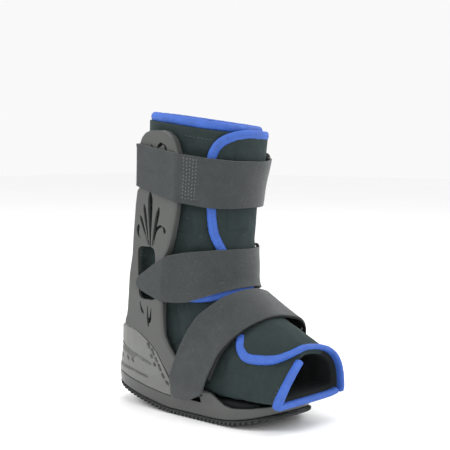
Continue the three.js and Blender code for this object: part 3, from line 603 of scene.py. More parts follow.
class Finish:
    """A material under construction."""

    def __init__(self, name, **surface):
        self.material = bpy.data.materials.new(name)
        self.material.use_nodes = True
        self.tree = self.material.node_tree
        self.shader = self.tree.nodes["Principled BSDF"]
        for key, value in surface.items():
            self.shader.inputs[key.replace("_", " ")].default_value = value

    def node(self, kind, settings=None, sockets=None, output=0):
        """A node of a type, with its settings first and then the values or links of its sockets."""
        made = self.tree.nodes.new(kind)
        for key, value in (settings or {}).items():
            if key == "stops":
                ramp = made.color_ramp
                while len(ramp.elements) < len(value):
                    ramp.elements.new(0.5)
                for element, (position, colour) in zip(ramp.elements, value):
                    element.position = position
                    element.color = colour
            else:
                setattr(made, key, value)
        for key, value in (sockets or {}).items():
            if isinstance(value, Value):
                self.tree.links.new(value.socket, made.inputs[key])
            else:
                made.inputs[key].default_value = value
        return Value(self, made.outputs[output])

    def maths(self, operation, a, b):
        return self.node("ShaderNodeMath", {"operation": operation}, {0: a, 1: b})

    def sine(self, value):
        return self.node("ShaderNodeMath", {"operation": "SINE"}, {0: value})

    def clamp(self, value):
        return self.node("ShaderNodeClamp", None, {"Value": value})

    def place(self, scale=(1, 1, 1), turn=0.0):
        """Coordinates on the piece in metres."""
        where = self.node("ShaderNodeTexCoord", output="Object")
        settings = {"Vector": where, "Scale": scale, "Rotation": (0, 0, turn)}
        return self.node("ShaderNodeMapping", None, settings)

    def cloth(self, turn=0.0, scale=(1, 1, 1)):
        """Coordinates along and across the cloth in metres."""
        where = self.node("ShaderNodeUVMap", {"uv_map": "cloth"})
        settings = {"Vector": where, "Scale": scale, "Rotation": (0, 0, turn)}
        return self.node("ShaderNodeMapping", None, settings)

    def speckle(self, where, size, detail=3.0, rough=0.55, warp=0.0):
        """Noise from 0 to 1 whose blotches are about size metres wide."""
        sockets = {"Vector": where, "Scale": 1 / size, "Detail": detail, "Roughness": rough}
        sockets["Distortion"] = warp
        return self.node("ShaderNodeTexNoise", None, sockets)

    def cells(self, where, size, output="Distance"):
        sockets = {"Vector": where, "Scale": 1 / size}
        return self.node("ShaderNodeTexVoronoi", None, sockets, output)

    def axis(self, where, name):
        return self.node("ShaderNodeSeparateXYZ", None, {0: where}, name)

    def blend(self, factor, a, b):
        """Colour a where factor is 0 and b where it is 1."""
        settings = {"data_type": "RGBA", "clamp_factor": True}
        return self.node("ShaderNodeMix", settings, {0: factor, 6: a, 7: b}, 2)

    def ramp(self, value, *stops):
        return self.node("ShaderNodeValToRGB", {"stops": stops}, {0: value})

    def feed(self, **links):
        for key, value in links.items():
            self.tree.links.new(value.socket, self.shader.inputs[key.replace("_", " ")])

    def relief(self, height, depth, strength=1.0):
        """Bump of a height from 0 to 1 that stands for depth metres."""
        sockets = {"Height": height, "Distance": depth, "Strength": strength}
        self.feed(Normal=self.node("ShaderNodeBump", None, sockets))


def tint(colour, share):
    """The colour made lighter or darker by a share."""
    return (*[min(c * share, 1) for c in colour[:3]], 1)


def brushed_fabric(name, colour, pile=0.0011):
    """Foam-backed loop fabric with a brushed nap that lies in soft patches."""
    f = Finish(name, Sheen_Weight=0.35, Sheen_Roughness=0.45, Specular_IOR_Level=0.25)
    f.shader.inputs["Sheen Tint"].default_value = tint(colour, 6)
    where = f.place()
    patches = f.speckle(where, 0.022, 4, 0.6, 0.6)
    nap = f.speckle(f.place((1, 1, 0.45)), pile, 3, 0.7)
    loops = f.cells(where, pile * 0.8)
    shade = f.clamp(patches * 0.62 + nap * 0.75 - 0.2 + loops * 0.15)
    colours = f.blend(shade, tint(colour, 0.55), tint(colour, 1.55))
    lint = f.speckle(where, 0.0032, 1, 0.4) > 0.74
    f.feed(Base_Color=f.blend(lint * 0.3, colours, tint(colour, 2.6)), Roughness=0.82 + nap * 0.16)
    f.relief(nap * 0.7 + loops * 0.45 + patches * 0.9, 0.0006, 0.8)
    return f.material


def strap_fabric(name, colour, rib=0.0013):
    """Napped webbing: ribs across and a worn, mottled face."""
    f = Finish(name, Sheen_Weight=0.3, Sheen_Roughness=0.4, Specular_IOR_Level=0.3)
    cloth = f.cloth()
    where = f.place()
    along = f.axis(cloth, "X")
    across = f.axis(cloth, "Y")
    wobble = f.speckle(where, 0.002, 2) * 1.6
    warp = f.sine(along * (2 * math.pi / rib) + wobble) * 0.5 + 0.5
    weft = f.sine(across * (2 * math.pi / (rib * 0.9)) + wobble) * 0.5 + 0.5
    weave = warp * weft
    nap = f.speckle(where, 0.0017, 4, 0.8)
    patches = f.speckle(where, 0.017, 5, 0.62, 0.8)
    shade = f.clamp(patches * 0.7 + nap * 1.3 + weave * 0.1 - 0.57)
    colours = f.blend(shade, tint(colour, 0.62), tint(colour, 1.42))
    lint = f.speckle(where, 0.0024, 1, 0.4) > 0.73
    f.feed(Base_Color=f.blend(lint * 0.35, colours, tint(colour, 2.2)), Roughness=0.74 + nap * 0.2)
    f.relief(weave * 0.3 + nap * 0.8 + patches * 0.4, 0.0005, 0.75)
    return f.material


def hook_fabric(name, colour):
    """Hook tape: rows of small stiff hooks on a dark band."""
    f = Finish(name, Specular_IOR_Level=0.4)
    cloth = f.cloth()
    rows = f.sine(f.axis(cloth, "X") * (2 * math.pi / 0.0015))
    columns = f.sine(f.axis(cloth, "Y") * (2 * math.pi / 0.0015))
    hooks = f.clamp(rows * columns * 1.4)
    grain = f.speckle(f.place(), 0.001, 2)
    shade = hooks * 0.7 + grain * 0.3
    colours = f.blend(shade, tint(colour, 0.6), tint(colour, 1.8))
    f.feed(Base_Color=colours, Roughness=0.55 + grain * 0.3)
    f.relief(hooks + grain * 0.3, 0.0005, 0.8)
    return f.material


def binding_fabric(name, colour):
    """Stretch binding: fine knit ribs slanting over the edge, with a soft satin sheen."""
    f = Finish(name, Sheen_Weight=0.5, Sheen_Roughness=0.3, Specular_IOR_Level=0.45)
    f.shader.inputs["Sheen Tint"].default_value = tint(colour, 2.2)
    cloth = f.cloth(0.32)
    where = f.place()
    wobble = f.speckle(where, 0.002, 1)
    ribs = f.sine(f.axis(cloth, "X") * (2 * math.pi / 0.0011) + wobble) * 0.5 + 0.5
    knit = f.sine(f.axis(cloth, "Y") * (2 * math.pi / 0.0009)) * 0.5 + 0.5
    puckers = f.speckle(f.cloth(0, (1, 0.3, 1)), 0.0055, 2, 0.5)
    patches = f.speckle(where, 0.012, 3, 0.6)
    shade = f.clamp(patches * 0.7 + puckers * 0.45 + ribs * 0.22 - 0.2)
    colours = f.blend(shade, tint(colour, 0.62), tint(colour, 1.4))
    f.feed(Base_Color=colours, Roughness=0.42 + ribs * 0.16 + patches * 0.12)
    f.relief(ribs * 0.5 + knit * 0.35 + puckers * 1.3, 0.00045, 0.7)
    return f.material


def moulded_plastic(name, colour, roughness, grain=0.0007, depth=0.00009):
    """Moulded plastic: fine spark texture, cloudy flow marks and faint handling scuffs."""
    f = Finish(name, Specular_IOR_Level=0.5, Coat_Weight=0.08, Coat_Roughness=0.3)
    where = f.place()
    spark = f.speckle(where, grain, 2, 0.6)
    clouds = f.speckle(where, 0.03, 4, 0.6, 0.4)
    scuffs = f.speckle(f.place((1, 0.2, 0.07), 0.7), 0.0016, 2, 0.6)
    scuffed = f.clamp((scuffs - 0.66) * 5)
    colours = f.blend(f.clamp(clouds * 1.2 - 0.1), tint(colour, 0.84), tint(colour, 1.16))
    f.feed(Base_Color=f.blend(scuffed * 0.35, colours, tint(colour, 1.7)))
    f.feed(Roughness=roughness - 0.06 + clouds * 0.1 + spark * 0.08 + scuffed * 0.16)
    f.relief(spark + clouds * 0.6, depth, 0.8)
    return f.material


def rubber(name, colour):
    """Moulded rubber with a dusty mottle, paler in colour towards the floor."""
    f = Finish(name, Specular_IOR_Level=0.35)
    where = f.place()
    pits = f.speckle(where, 0.0008, 3, 0.7)
    dust = f.speckle(where, 0.009, 4, 0.65, 0.5)
    height = f.axis(where, "Z")
    # Colour only: paler the closer the rubber is to the floor.
    low = f.clamp(1 - height * 220)
    shade = f.clamp(dust * 0.9 + pits * 0.3 - 0.15 + low * 0.35)
    colours = f.blend(shade, tint(colour, 0.6), tint(colour, 1.9))
    f.feed(Base_Color=colours, Roughness=0.72 + pits * 0.2)
    f.relief(pits + dust * 0.6, 0.00025, 0.8)
    return f.material


def thread(name, colour):
    """Twisted sewing thread."""
    f = Finish(name, Sheen_Weight=0.3, Specular_IOR_Level=0.4)
    where = f.place()
    twist = f.speckle(where, 0.0006, 1)
    colours = f.blend(twist, tint(colour, 0.6), tint(colour, 1.5))
    f.feed(Base_Color=colours, Roughness=0.55 + twist * 0.2)
    f.relief(twist, 0.0001)
    return f.material


# Pieces


def length_property(name, description, default):
    return FloatProperty(
        name=name, description=description, default=default, subtype="DISTANCE", unit="LENGTH"
    )


class BootSizes(bpy.types.PropertyGroup):
    puff: length_property("Liner puff", "Swell of the padded liner between the straps", 0.0012)
    binding_width: length_property("Binding width", "Width of the bound edges", 0.0084)
    strap_thickness: length_property("Strap thickness", "Thickness of the face band", 0.0015)
    stitch_length: length_property("Stitch length", "Length of one sewing stitch", 0.0026)
    camera_distance: length_property("Camera distance", "From the camera to the boot", 1.0)


def colour_property(name, description, default):
    return FloatVectorProperty(
        name=name, description=description, default=default, subtype="COLOR", size=3, min=0, max=1
    )


class BootColours(bpy.types.PropertyGroup):
    liner: colour_property("Liner", "Brushed fabric of the wrap liner", (0.016, 0.025, 0.0245))
    lining: colour_property("Lining", "Fabric inside the liner", (0.005, 0.007, 0.007))
    strap: colour_property("Strap", "Face of the straps", (0.04, 0.045, 0.046))
    hook: colour_property("Hook tape", "Underside of the straps", (0.005, 0.006, 0.006))
    binding: colour_property("Binding", "Bound edges", (0.03, 0.102, 0.43))
    shell: colour_property("Shell", "Moulded pan and side plates", (0.058, 0.061, 0.058))
    # Painted light: the heel cap is the shell's plastic, made lighter here for the light its raised
    # top catches.
    cap: colour_property("Heel cap", "Heel cap, shell plastic painted lighter", (0.125, 0.129, 0.122))
    tread: colour_property("Tread", "Rubber outsole", (0.026, 0.028, 0.027))
    ring: colour_property("Ring", "Strap rings", (0.009, 0.009, 0.01))


FINISHES = {}


def finishes():
    """The boot's materials, made once from its colours."""
    if FINISHES:
        return FINISHES
    c = bpy.context.scene.boot_colours
    FINISHES.update(
        liner=brushed_fabric("Liner fabric", c.liner),
        lining=brushed_fabric("Lining fabric", c.lining, 0.0008),
        strap=strap_fabric("Strap fabric", c.strap),
        hook=hook_fabric("Hook tape", c.hook),
        binding=binding_fabric("Edge binding", c.binding),
        shell=moulded_plastic("Shell plastic", c.shell, 0.36),
        # Painted light: the cap's colour is the shell plastic made lighter for the light on its
        # raised top.
        cap=moulded_plastic("Heel cap plastic with painted light", c.cap, 0.4),
        tread=rubber("Tread rubber", c.tread),
        board=brushed_fabric("Insole cover", c.lining, 0.0007),
        ring=moulded_plastic("Ring plastic", c.ring, 0.3),
        blue_thread=thread("Binding thread", tint(c.binding, 0.55)),
        grey_thread=thread("Strap thread", tint(c.strap, 2.6)),
        dark_thread=thread("Liner thread", tint(c.liner, 1.9)),
    )
    return FINISHES


def sizes():
    return bpy.context.scene.boot_sizes


class BuildTread(bpy.types.Operator):
    """Rubber outsole with rounded cross teeth."""

    bl_idname = "boot.tread"
    bl_label = "Tread"

    def execute(self, context):
        start = TOOTH_PITCH / 2
        count = math.floor((SOLE_LENGTH - 2 * start) / TOOTH_PITCH)
        tooth = [(0, 0.6), (0.12, 0.08), (0.3, 0), (0.46, 0.12), (0.58, 0.6), (0.66, 1), (0.92, 1)]
        stations = [(x, 0) for x in (0, 0.6, 1.4)]
        stations += [(start + (i + a) * TOOTH_PITCH, d) for i in range(count) for a, d in tooth]
        end = start + count * TOOTH_PITCH
        stations += [(x, 0) for x in (end, mix(end, SOLE_LENGTH, 0.6), SOLE_LENGTH)]
        side = [(-1.0, 1), (0, 1), (0.2, 0.86), (0.9, 0.74), (1.5, 0.6), (1.5, 0.2), (0.6, 0.02)]

        def place(i, j):
            x, depth = stations[i]
            half = plan_half(x)
            if j < len(side):
                inset, height, sign = *side[j], -1
            elif j < 2 * len(side):
                inset, height, sign = *side[2 * len(side) - 1 - j], 1
            else:
                inset, height, sign = *side[0], -1
            rounding = 0.5 if height < 0.1 else 0
            low = rocker(x) + depth * TOOTH_DEPTH
            top = rocker(x) + TREAD_THICKNESS
            along = x + max(inset, 0) * ease(0.5, 1, x / SOLE_LENGTH)
            return (along, sign * (half + inset - rounding), mix(low, top, height))

        bm = grid(len(stations) - 1, 2 * len(side), place)
        weld(bm)
        close_ends(bm)
        piece = mesh_object("tread", bm, finishes()["tread"], 35)
        settle(piece, "tread_rubber", "outsole")
        return {"FINISHED"}


def plan_loop(count):
    """Points (x, y) evenly round the sole's plan, from the toe along the near side and back."""
    side = [Vector((x, -half)) for x, half in reversed(PLAN_TABLE)]
    path = [Vector((SOLE_LENGTH, 0)), *side, Vector((0, 0))]
    near = soften([along_path(path, t) for t in spread(0, 1, count // 2)], 3)
    return near + [Vector((p.x, -p.y)) for p in reversed(near[1:-1])]


def inward(before, p, after):
    """Direction from a point of the sole's plan towards its middle."""
    tangent = (after - before).normalized()
    normal = Vector((-tangent.y, tangent.x))
    return -normal if normal.dot(Vector((SOLE_LENGTH / 2, 0)) - p) < 0 else normal


class BuildPan(bpy.types.Operator):
    """Moulded pan of the sole with a rolled rim and a slot for the lower strap on each side."""

    bl_idname = "boot.pan"
    bl_label = "Sole pan"

    def execute(self, context):
        loop = plan_loop(360)
        walls = spread(0, 1, 14)
        # Share of the way to the middle line, inset from the wall, share of the wall's height
        # and a lift, from the underside over the rim down to the floor.
        under = [(1, 0, 0, 0), (0.6, 0, 0, 0), (0.2, 0, 0, 0), (0, 1.4, 0, 0), (0, 0.5, 0, 0.35)]
        outer = [(0, 0, t, mix(1.1, -0.9, t)) for t in walls]
        rim = [(0, 0.35, 1, -0.3), (0, 0.95, 1, 0), (0, 2.05, 1, 0), (0, 2.65, 1, -0.3)]
        inner = [(0, SHELL_WALL, 1 - t, mix(-0.9, 0.8, t)) for t in walls]
        floor = [(0, 3.6, 0, 0.1), (0.15, 3, 0, 0), (0.6, 3, 0, 0), (1, 0, 0, 0)]
        profile = under + outer + rim + inner + floor
        inside = len(under) + len(outer) + len(rim)

        def place(i, j):
            p = loop[i % len(loop)]
            normal = inward(loop[i - 1], p, loop[(i + 1) % len(loop)])
            to_middle, inset, share, lift = profile[j]
            low = floor_top(p.x) if j >= inside else pan_bottom(p.x)
            high = max(rim_top(p.x), low + 0.6)
            z = mix(low, high, share) + lift
            q = p + normal * inset
            x = tucked(q.x, z)
            y = q.y * flare(z) * (1 - to_middle)
            return (x, 0 if to_middle == 1 else y, z)

        bm = grid(len(loop), len(profile) - 1, place)
        weld(bm, 1e-5)
        for sign in (-1, 1):
            self.cut_slot(bm, sign)
        piece = mesh_object("pan", bm, finishes()["shell"], 38)
        settle(piece, "shell_plastic", "sole_pan")
        return {"FINISHED"}

    def cut_slot(self, bm, sign):
        """Through slot in one side wall, lined by bridging its outer and inner edge."""
        low, high = (to_frame(corner) for corner in PAN_SLOT)

        def inside(face):
            p = face.calc_center_median()
            steep = abs(face.normal.z) < 0.6
            on_side = p.y * sign > PAN_SLOT_SIDE * MM
            return low.x < p.x < high.x and low.z < p.z < high.z and on_side and steep

        faces = [f for f in bm.faces if inside(f)]
        rims = {e for f in faces for e in f.edges if any(g not in faces for g in e.link_faces)}
        bmesh.ops.delete(bm, geom=faces, context="FACES")
        rims = [e for e in rims if e.is_valid and e.is_boundary]
        if rims:
            bmesh.ops.bridge_loops(bm, edges=rims)


class BuildHeelCap(bpy.types.Operator):
    """Smooth heel cap with carved curves and a row of small slots along its ridge."""

    bl_idname = "boot.heel_cap"
    bl_label = "Heel cap"

    GROOVE_DEPTH = 2.0
    SLOT_DEPTH = 2.4
    GROOVES = [
        [(0.05, 0.262), (0.16, 0.215), (0.25, 0.19), (0.325, 0.172)],
        [(0.04, 0.235), (0.13, 0.21), (0.215, 0.186)],
        [(0.09, 0.15), (0.2, 0.138), (0.29, 0.12)],
    ]
    SLOTS = [
        (0.322, 0.238, 2.6),
        (0.346, 0.217, 3.8),
        (0.365, 0.19, 2.2),
        (0.384, 0.164, 3.8),
        (0.402, 0.136, 2.2),
        (0.418, 0.112, 1.2),
        (0.335, 0.2, 0.8),
        (0.352, 0.172, 0.8),
        (0.17, 0.178, 1.4),
        (0.205, 0.172, 1),
        (0.12, 0.183, 1),
    ]

    def execute(self, context):
        loop = plan_loop(760)
        last = 0.46 * SOLE_LENGTH
        kept = [n for n, p in enumerate(loop) if p.x < last]
        loop = [loop[n] for n in range(kept[0], kept[-1] + 1)]
        rows = 84
        round_over = [(0.25, 0.25), (0.9, 0), (2.1, 0), (2.75, 0.25)]
        profile = [(0, t, 0) for t in spread(0, 1, rows)]
        profile += [(inset, 1, 0.5 - drop) for inset, drop in round_over]
        profile += [(SHELL_WALL, 1 - t, 0) for t in spread(0, 1, 8)]

        def place(i, j):
            p = loop[i]
            normal = inward(loop[max(i - 1, 0)], p, loop[min(i + 1, len(loop) - 1)])
            inset, share, lift = profile[j]
            low = rim_top(p.x) + 0.5
            high = max(ridge_top(p.x) - 3 * GAP, low + 1)
            z = mix(low, high, share) + lift
            x = tucked(p.x, z)
            if j <= rows:
                inset = self.carving(x / SOLE_LENGTH, z / SHELL_HEIGHT)
                inset += 0.5 * (1 - ease(0, 1.2, z - low))
            q = Vector((x, p.y * flare(z))) + normal * inset
            return (q.x, q.y, z)

        bm = grid(len(loop) - 1, len(profile) - 1, place)
        bmesh.ops.bridge_loops(bm, edges=[e for e in bm.edges if e.is_boundary and self.level(e)])
        close_ends(bm)
        piece = mesh_object("heel_shell", bm, finishes()["cap"], 45)
        settle(piece, "cap_plastic", "heel_cap")
        return {"FINISHED"}

    def level(self, edge):
        """True for the lower edges of the cap's outer and inner face."""
        a, b = (v.co for v in edge.verts)
        return abs((a - b).normalized().z) < 0.7 and (a.xy - b.xy).length > 1e-7

    def carving(self, x, z):
        """Depth of the carved lines and slots at a place on the cap's side."""
        p = Vector((x * SOLE_LENGTH, z * SHELL_HEIGHT))
        depth = 0
        for groove in self.GROOVES:
            points = [Vector((a * SOLE_LENGTH, b * SHELL_HEIGHT)) for a, b in groove]
            near = min(distance_to(p, a, b) for a, b in zip(points, points[1:]))
            depth = max(depth, self.GROOVE_DEPTH * (1 - ease(0.6, 1.8, near)))
        for a, b, length in self.SLOTS:
            centre = Vector((a * SOLE_LENGTH, b * SHELL_HEIGHT))
            lean = Vector((0.42, -0.9)) * length / 2
            near = distance_to(p, centre - lean, centre + lean)
            depth = max(depth, self.SLOT_DEPTH * (1 - ease(1.0, 1.8, near)))
        return depth


def nearest_on(p, a, b):
    """Nearest place to a point on a straight stretch."""
    along = b - a
    share = min(max((p - a).dot(along) / max(along.length_squared, 1e-9), 0), 1)
    return a + along * share


def distance_to(p, a, b):
    return (p - nearest_on(p, a, b)).length


def vent_outline(foot, bend, tip, width):
    """Outline of one tapered, curved vent in the plate's plane."""
    a, b, c = [Vector((x * SOLE_LENGTH, z * SHELL_HEIGHT)) for x, z in (foot, bend, tip)]
    steps = 14
    line = [a * (1 - t) ** 2 + b * 2 * t * (1 - t) + c * t * t for t in spread(0, 1, steps)]
    left, right = [], []
    for n, p in enumerate(line):
        ahead = (line[min(n + 1, steps)] - line[max(n - 1, 0)]).normalized()
        t = n / steps
        reach = width / 2 * (0.28 + 0.72 * ease(0, 0.75, t)) * (1 - 0.75 * ease(0.86, 1, t))
        across = Vector((-ahead.y, ahead.x)) * reach
        left.append(p + across)
        right.append(p - across)
    return left + right[::-1]


def window_outline():
    """Rounded window."""
    cx, cz = WINDOW_CENTRE
    points = []
    for turn in range(0, 360, 6):
        c, s = math.cos(math.radians(turn)), math.sin(math.radians(turn))
        x = math.copysign(abs(c) ** 0.4, c) * WINDOW_WIDTH / 2
        z = math.copysign(abs(s) ** 0.28, s) * WINDOW_HEIGHT / 2
        points.append(Vector((cx + x, cz + z)))
    return points


def inside_outline(p, points):
    """True if a point lies in a closed outline."""
    found = False
    for a, b in zip(points, points[1:] + points[:1]):
        if (a.y > p.y) != (b.y > p.y) and p.x < a.x + (b.x - a.x) * (p.y - a.y) / (b.y - a.y):
            found = not found
    return found


class BuildUprights(bpy.types.Operator):
    """Side plates with rolled flanges, a window and a sprig of vents."""

    bl_idname = "boot.uprights"
    bl_label = "Uprights"

    ROWS = 250
    TOP_ROWS = 14
    TOP_START = 0.955
    COLUMNS = 44
    FLANGE_COLUMNS = 7
    VENT_REACH = 1.24

    def execute(self, context):
        holes = [vent_outline(*vent) for vent in VENTS] + [window_outline()]
        for name, sign in (("near", -1), ("far", 1)):
            piece = self.plate(f"side_plate_{name}", sign, holes)
            settle(piece, "shell_plastic", f"upright_{name}")
        return {"FINISHED"}

    def plate(self, name, sign, holes):
        columns = self.COLUMNS + 2 * self.FLANGE_COLUMNS
        levels = self.levels()

        def place(i, j):
            z = levels[i]
            rear, fore = between(UPRIGHT_REAR, z), between(UPRIGHT_FORE, z)
            y = wall_half((rear + fore) / 2, z)
            reach = between(FLANGE_REACH, z / SHELL_HEIGHT)
            depth = reach * FLANGE_DEPTH + SHELL_WALL * 1.1
            bend = min(2.6, (fore - rear) / 3)
            k = j - self.FLANGE_COLUMNS
            if k < 0:
                inset, turned_in = self.flange(-k, bend, depth)
                x = rear + inset
            elif k > self.COLUMNS:
                inset, turned_in = self.flange(k - self.COLUMNS, bend, depth)
                x = fore - inset
            else:
                x, turned_in = mix(rear + bend, fore - bend, k / self.COLUMNS), 0
            follow = 1 - ease(30, 70, z)
            y = mix(y, wall_half(x, z), follow) - turned_in
            return (x, sign * y, z)

        bm = grid(len(levels) - 1, columns, place)
        self.pierce(bm, holes)
        bm.normal_update()
        probe = max(bm.faces, key=lambda f: abs(f.normal.y))
        if probe.normal.y * sign < 0:
            bmesh.ops.reverse_faces(bm, faces=bm.faces)
        piece = mesh_object(name, bm, finishes()["shell"], 42, outward=False)
        modify(piece, "SOLIDIFY", thickness=SHELL_WALL * MM, offset=-1, use_even_offset=False)
        bevel = modify(piece, "BEVEL", width=0.0005, segments=2, limit_method="ANGLE")
        bevel.angle_limit = math.radians(50)
        bake_modifiers(piece)
        piece.data.set_sharp_from_angle(angle=math.radians(48))
        return piece

    def levels(self):
        """Heights of the plate's rows, closer together at its rounded top."""
        foot = UPRIGHT_FOOT / SHELL_HEIGHT
        body = spread(foot, self.TOP_START, self.ROWS - self.TOP_ROWS)
        turns = spread(0, 1, self.TOP_ROWS)[1:]
        top = [mix(self.TOP_START, 1, math.sin(t * math.pi / 2)) for t in turns]
        return [share * SHELL_HEIGHT for share in body + top]

    def flange(self, step, bend, depth):
        """Inset from the plate's edge and inward reach along the rolled flange."""
        arc = 4
        if step <= arc:
            turn = math.pi / 2 * step / arc
            return bend * (1 - math.sin(turn)), bend * (1 - math.cos(turn))
        share = (step - arc) / (self.FLANGE_COLUMNS - arc)
        return 0, mix(bend, max(depth, bend + 0.5), share)

    def pierce(self, bm, holes):
        """Cuts the vents: nearby corners go onto each outline, and the faces inside it go."""
        for points in holes:
            low = Vector((min(p.x for p in points) - 2, min(p.y for p in points) - 2))
            high = Vector((max(p.x for p in points) + 2, max(p.y for p in points) + 2))

            def flat(co):
                return Vector((co.x / MM - HEEL_BACK, co.z / MM))

            def close(p):
                return low.x < p.x < high.x and low.y < p.y < high.y

            verts = [v for v in bm.verts if close(flat(v.co))]
            faces = {f for v in verts for f in v.link_faces}
            doomed = [f for f in faces if inside_outline(flat(f.calc_center_median()), points)]
            gone = set(doomed)
            rim = {v for f in doomed for v in f.verts if any(g not in gone for g in v.link_faces)}
            for v in rim:
                p = flat(v.co)
                pairs = zip(points, points[1:] + points[:1])
                q = nearest_on(p, *min(pairs, key=lambda pair: distance_to(p, *pair)))
                if (q - p).length < self.VENT_REACH:
                    v.co.x += (q.x - p.x) * MM
                    v.co.z += (q.y - p.y) * MM
            bmesh.ops.delete(bm, geom=doomed, context="FACES")
        loose = [v for v in bm.verts if not v.link_faces]
        bmesh.ops.delete(bm, geom=loose, context="VERTS")


class BuildInsole(bpy.types.Operator):
    """Flat covered board on the pan's floor."""

    bl_idname = "boot.insole"
    bl_label = "Insole"

    def execute(self, context):
        stations = spread(0.115 * SOLE_LENGTH, SOLE_LENGTH - 7 * SHELL_WALL, 60)
        edge = [(0.7, 0), (0.1, 0.15), (0, 0.5), (0.1, 0.85), (0.7, 1), (3, 1.02)]

        def place(i, j):
            x = stations[i]
            low = floor_top(x) + 2 * GAP
            high = max(PAN_FLOOR_HEIGHT + INSOLE_THICKNESS + GAP, floor_top(x) + 3.2)
            half = plan_half(x) - SHELL_WALL - GAP
            k = j % (2 * len(edge))
            inset, share = edge[k] if k < len(edge) else edge[2 * len(edge) - 1 - k]
            sign = -1 if k < len(edge) else 1
            return (x, sign * (half - inset), mix(low, high, share))

        bm = grid(len(stations) - 1, 2 * len(edge), place)
        weld(bm)
        close_ends(bm)
        piece = mesh_object("insole_board", bm, finishes()["board"], 50)
        settle(piece, "insole_board", "insole")
        return {"FINISHED"}


def strap_press(s, degrees):
    """How hard the straps press on the liner, 0 to 1."""
    turn = from_front(degrees)
    front = 1 - ease(70, 110, abs(turn))
    upper = ease(0.7, 1.2, s) * (1 - ease(2.4, 2.9, s))
    middle = ease(3.9, 4.4, s) * (1 - ease(6.4, 6.9, s))
    low = between([(r[0], r[1]) for r in LOWER_STRAP], turn)
    high = between([(r[0], r[2]) for r in LOWER_STRAP], turn)
    lower = ease(low - 0.3, low + 0.3, s) * (1 - ease(high - 0.3, high + 0.3, s))
    return max(upper, middle, lower) * front


def creases(s, degrees, seed):
    """Soft uneven surface of a worn padded cloth, in millimetres."""
    p = on_liner(s, degrees) * 0.045 + Vector((seed, 0, 0))
    broad = noise.noise(p)
    fine = noise.noise(p * 2.7)
    drag = noise.noise(Vector((s * 1.9, math.radians(degrees) * 0.9, seed)))
    return broad * 0.7 + fine * 0.35 + drag * 0.5


def behind_shell(s, degrees):
    """1 where the shell's side plates and heel cup hold the liner in, 0 where it is free."""
    p = on_liner(s, degrees)
    side = ease(62, 76, abs(from_front(degrees)))
    low = 1 - ease(30, 48, p.z)
    return max(side * (1 - ease(240, 256, p.z)), low)


class BuildLiner(bpy.types.Operator):
    """Padded wrap liner, swollen by a short cloth simulation and bound at collar and toe."""

    bl_idname = "boot.liner"
    bl_label = "Liner"

    ROWS = 104
    TURNS = 96
    INNER_ROWS = 60
    START = 0.07
    END = 15.86
    MOST_LIFT = 2.2

    def execute(self, context):
        total = self.ROWS + self.INNER_ROWS

        def place(i, j):
            degrees = 360 * (j % self.TURNS) / self.TURNS
            if i <= self.ROWS:
                s = mix(self.START, self.END, i / self.ROWS)
                free = 1 - behind_shell(s, degrees)
                puff = sizes().puff / MM * free * (1 - strap_press(s, degrees))
                lift = creases(s, degrees, 3) * mix(0.25, 0.9, free) + puff - 0.35
                turn = abs(from_front(degrees))
                beside = ease(70, 80, turn) * (1 - ease(88, 98, turn))
                lift -= 2.6 * beside * ease(5.9, 6.8, s) * (1 - ease(9.2, 10.4, s))
                return on_liner(s, degrees, min(lift, self.MOST_LIFT))
            if i == total:
                return place(0, j)
            share = (i - self.ROWS) / self.INNER_ROWS
            s = mix(self.END, self.START, share)
            rim = 1 - math.sin(math.pi * min(max(share, 0.02), 0.98)) ** 0.2
            lift = -PADDING * (1 - rim * 0.35) + creases(s, degrees, 9) * 0.4
            return on_liner(s, degrees, lift)

        bm = grid(total, self.TURNS, place)
        weld(bm, 1e-5)
        piece = mesh_object("wrap_liner", bm, finishes()["liner"], 75)
        piece.data.materials.append(finishes()["lining"])
        swell(piece, pressure=2.5, cap=0.0022)
        ends = [section_ends(s) for s in spread(0, 16, 32)]
        centre = [to_frame((front + back) / 2) for front, back in ends]
        for face in piece.data.polygons:
            nearest = min(centre, key=lambda p: (p - face.center).length_squared)
            if face.normal.dot(face.center - nearest) < 0:
                face.material_index = 1
        modify(piece, "SUBSURF", levels=1, render_levels=1)
        settle(piece, "liner_fabric", "liner")
        return {"FINISHED"}


SWELL_FRAMES = 12
HELD_COLLAR = 255
HELD_TOE = 196


def swell(piece, pressure, cap):
    """Blows padded cloth up a little with a cloth simulation, and keeps each point within cap."""
    mesh = piece.data
    rest = [v.co.copy() for v in mesh.vertices]
    held = piece.vertex_groups.new(name="held")
    for v in mesh.vertices:
        at_collar = v.co.z / MM > HELD_COLLAR
        at_toe = v.co.x / MM - HEEL_BACK > HELD_TOE
        held.add([v.index], 1.0 if at_collar or at_toe else 0.35, "REPLACE")
    cloth = modify(piece, "CLOTH")
    settings = cloth.settings
    settings.quality = 5
    settings.mass = 0.3
    settings.tension_stiffness = 12
    settings.compression_stiffness = 12
    settings.bending_stiffness = 1.5
    settings.use_pressure = True
    settings.uniform_pressure_force = pressure
    settings.vertex_group_mass = "held"
    settings.pin_stiffness = 0.6
    settings.shrink_min = -0.03
    settings.effector_weights.gravity = 0
    cloth.collision_settings.use_collision = False
    scene = bpy.context.scene
    for number in range(SWELL_FRAMES):
        scene.frame_set(number + 1)
    graph = bpy.context.evaluated_depsgraph_get()
    shaped = [v.co.copy() for v in piece.evaluated_get(graph).data.vertices]
    piece.modifiers.clear()
    piece.vertex_groups.clear()
    for v, before, after in zip(mesh.vertices, rest, shaped):
        move = after - before
        if move.length > cap:
            move *= cap / move.length
        v.co = before + move
    scene.frame_set(1)
    mesh.update()


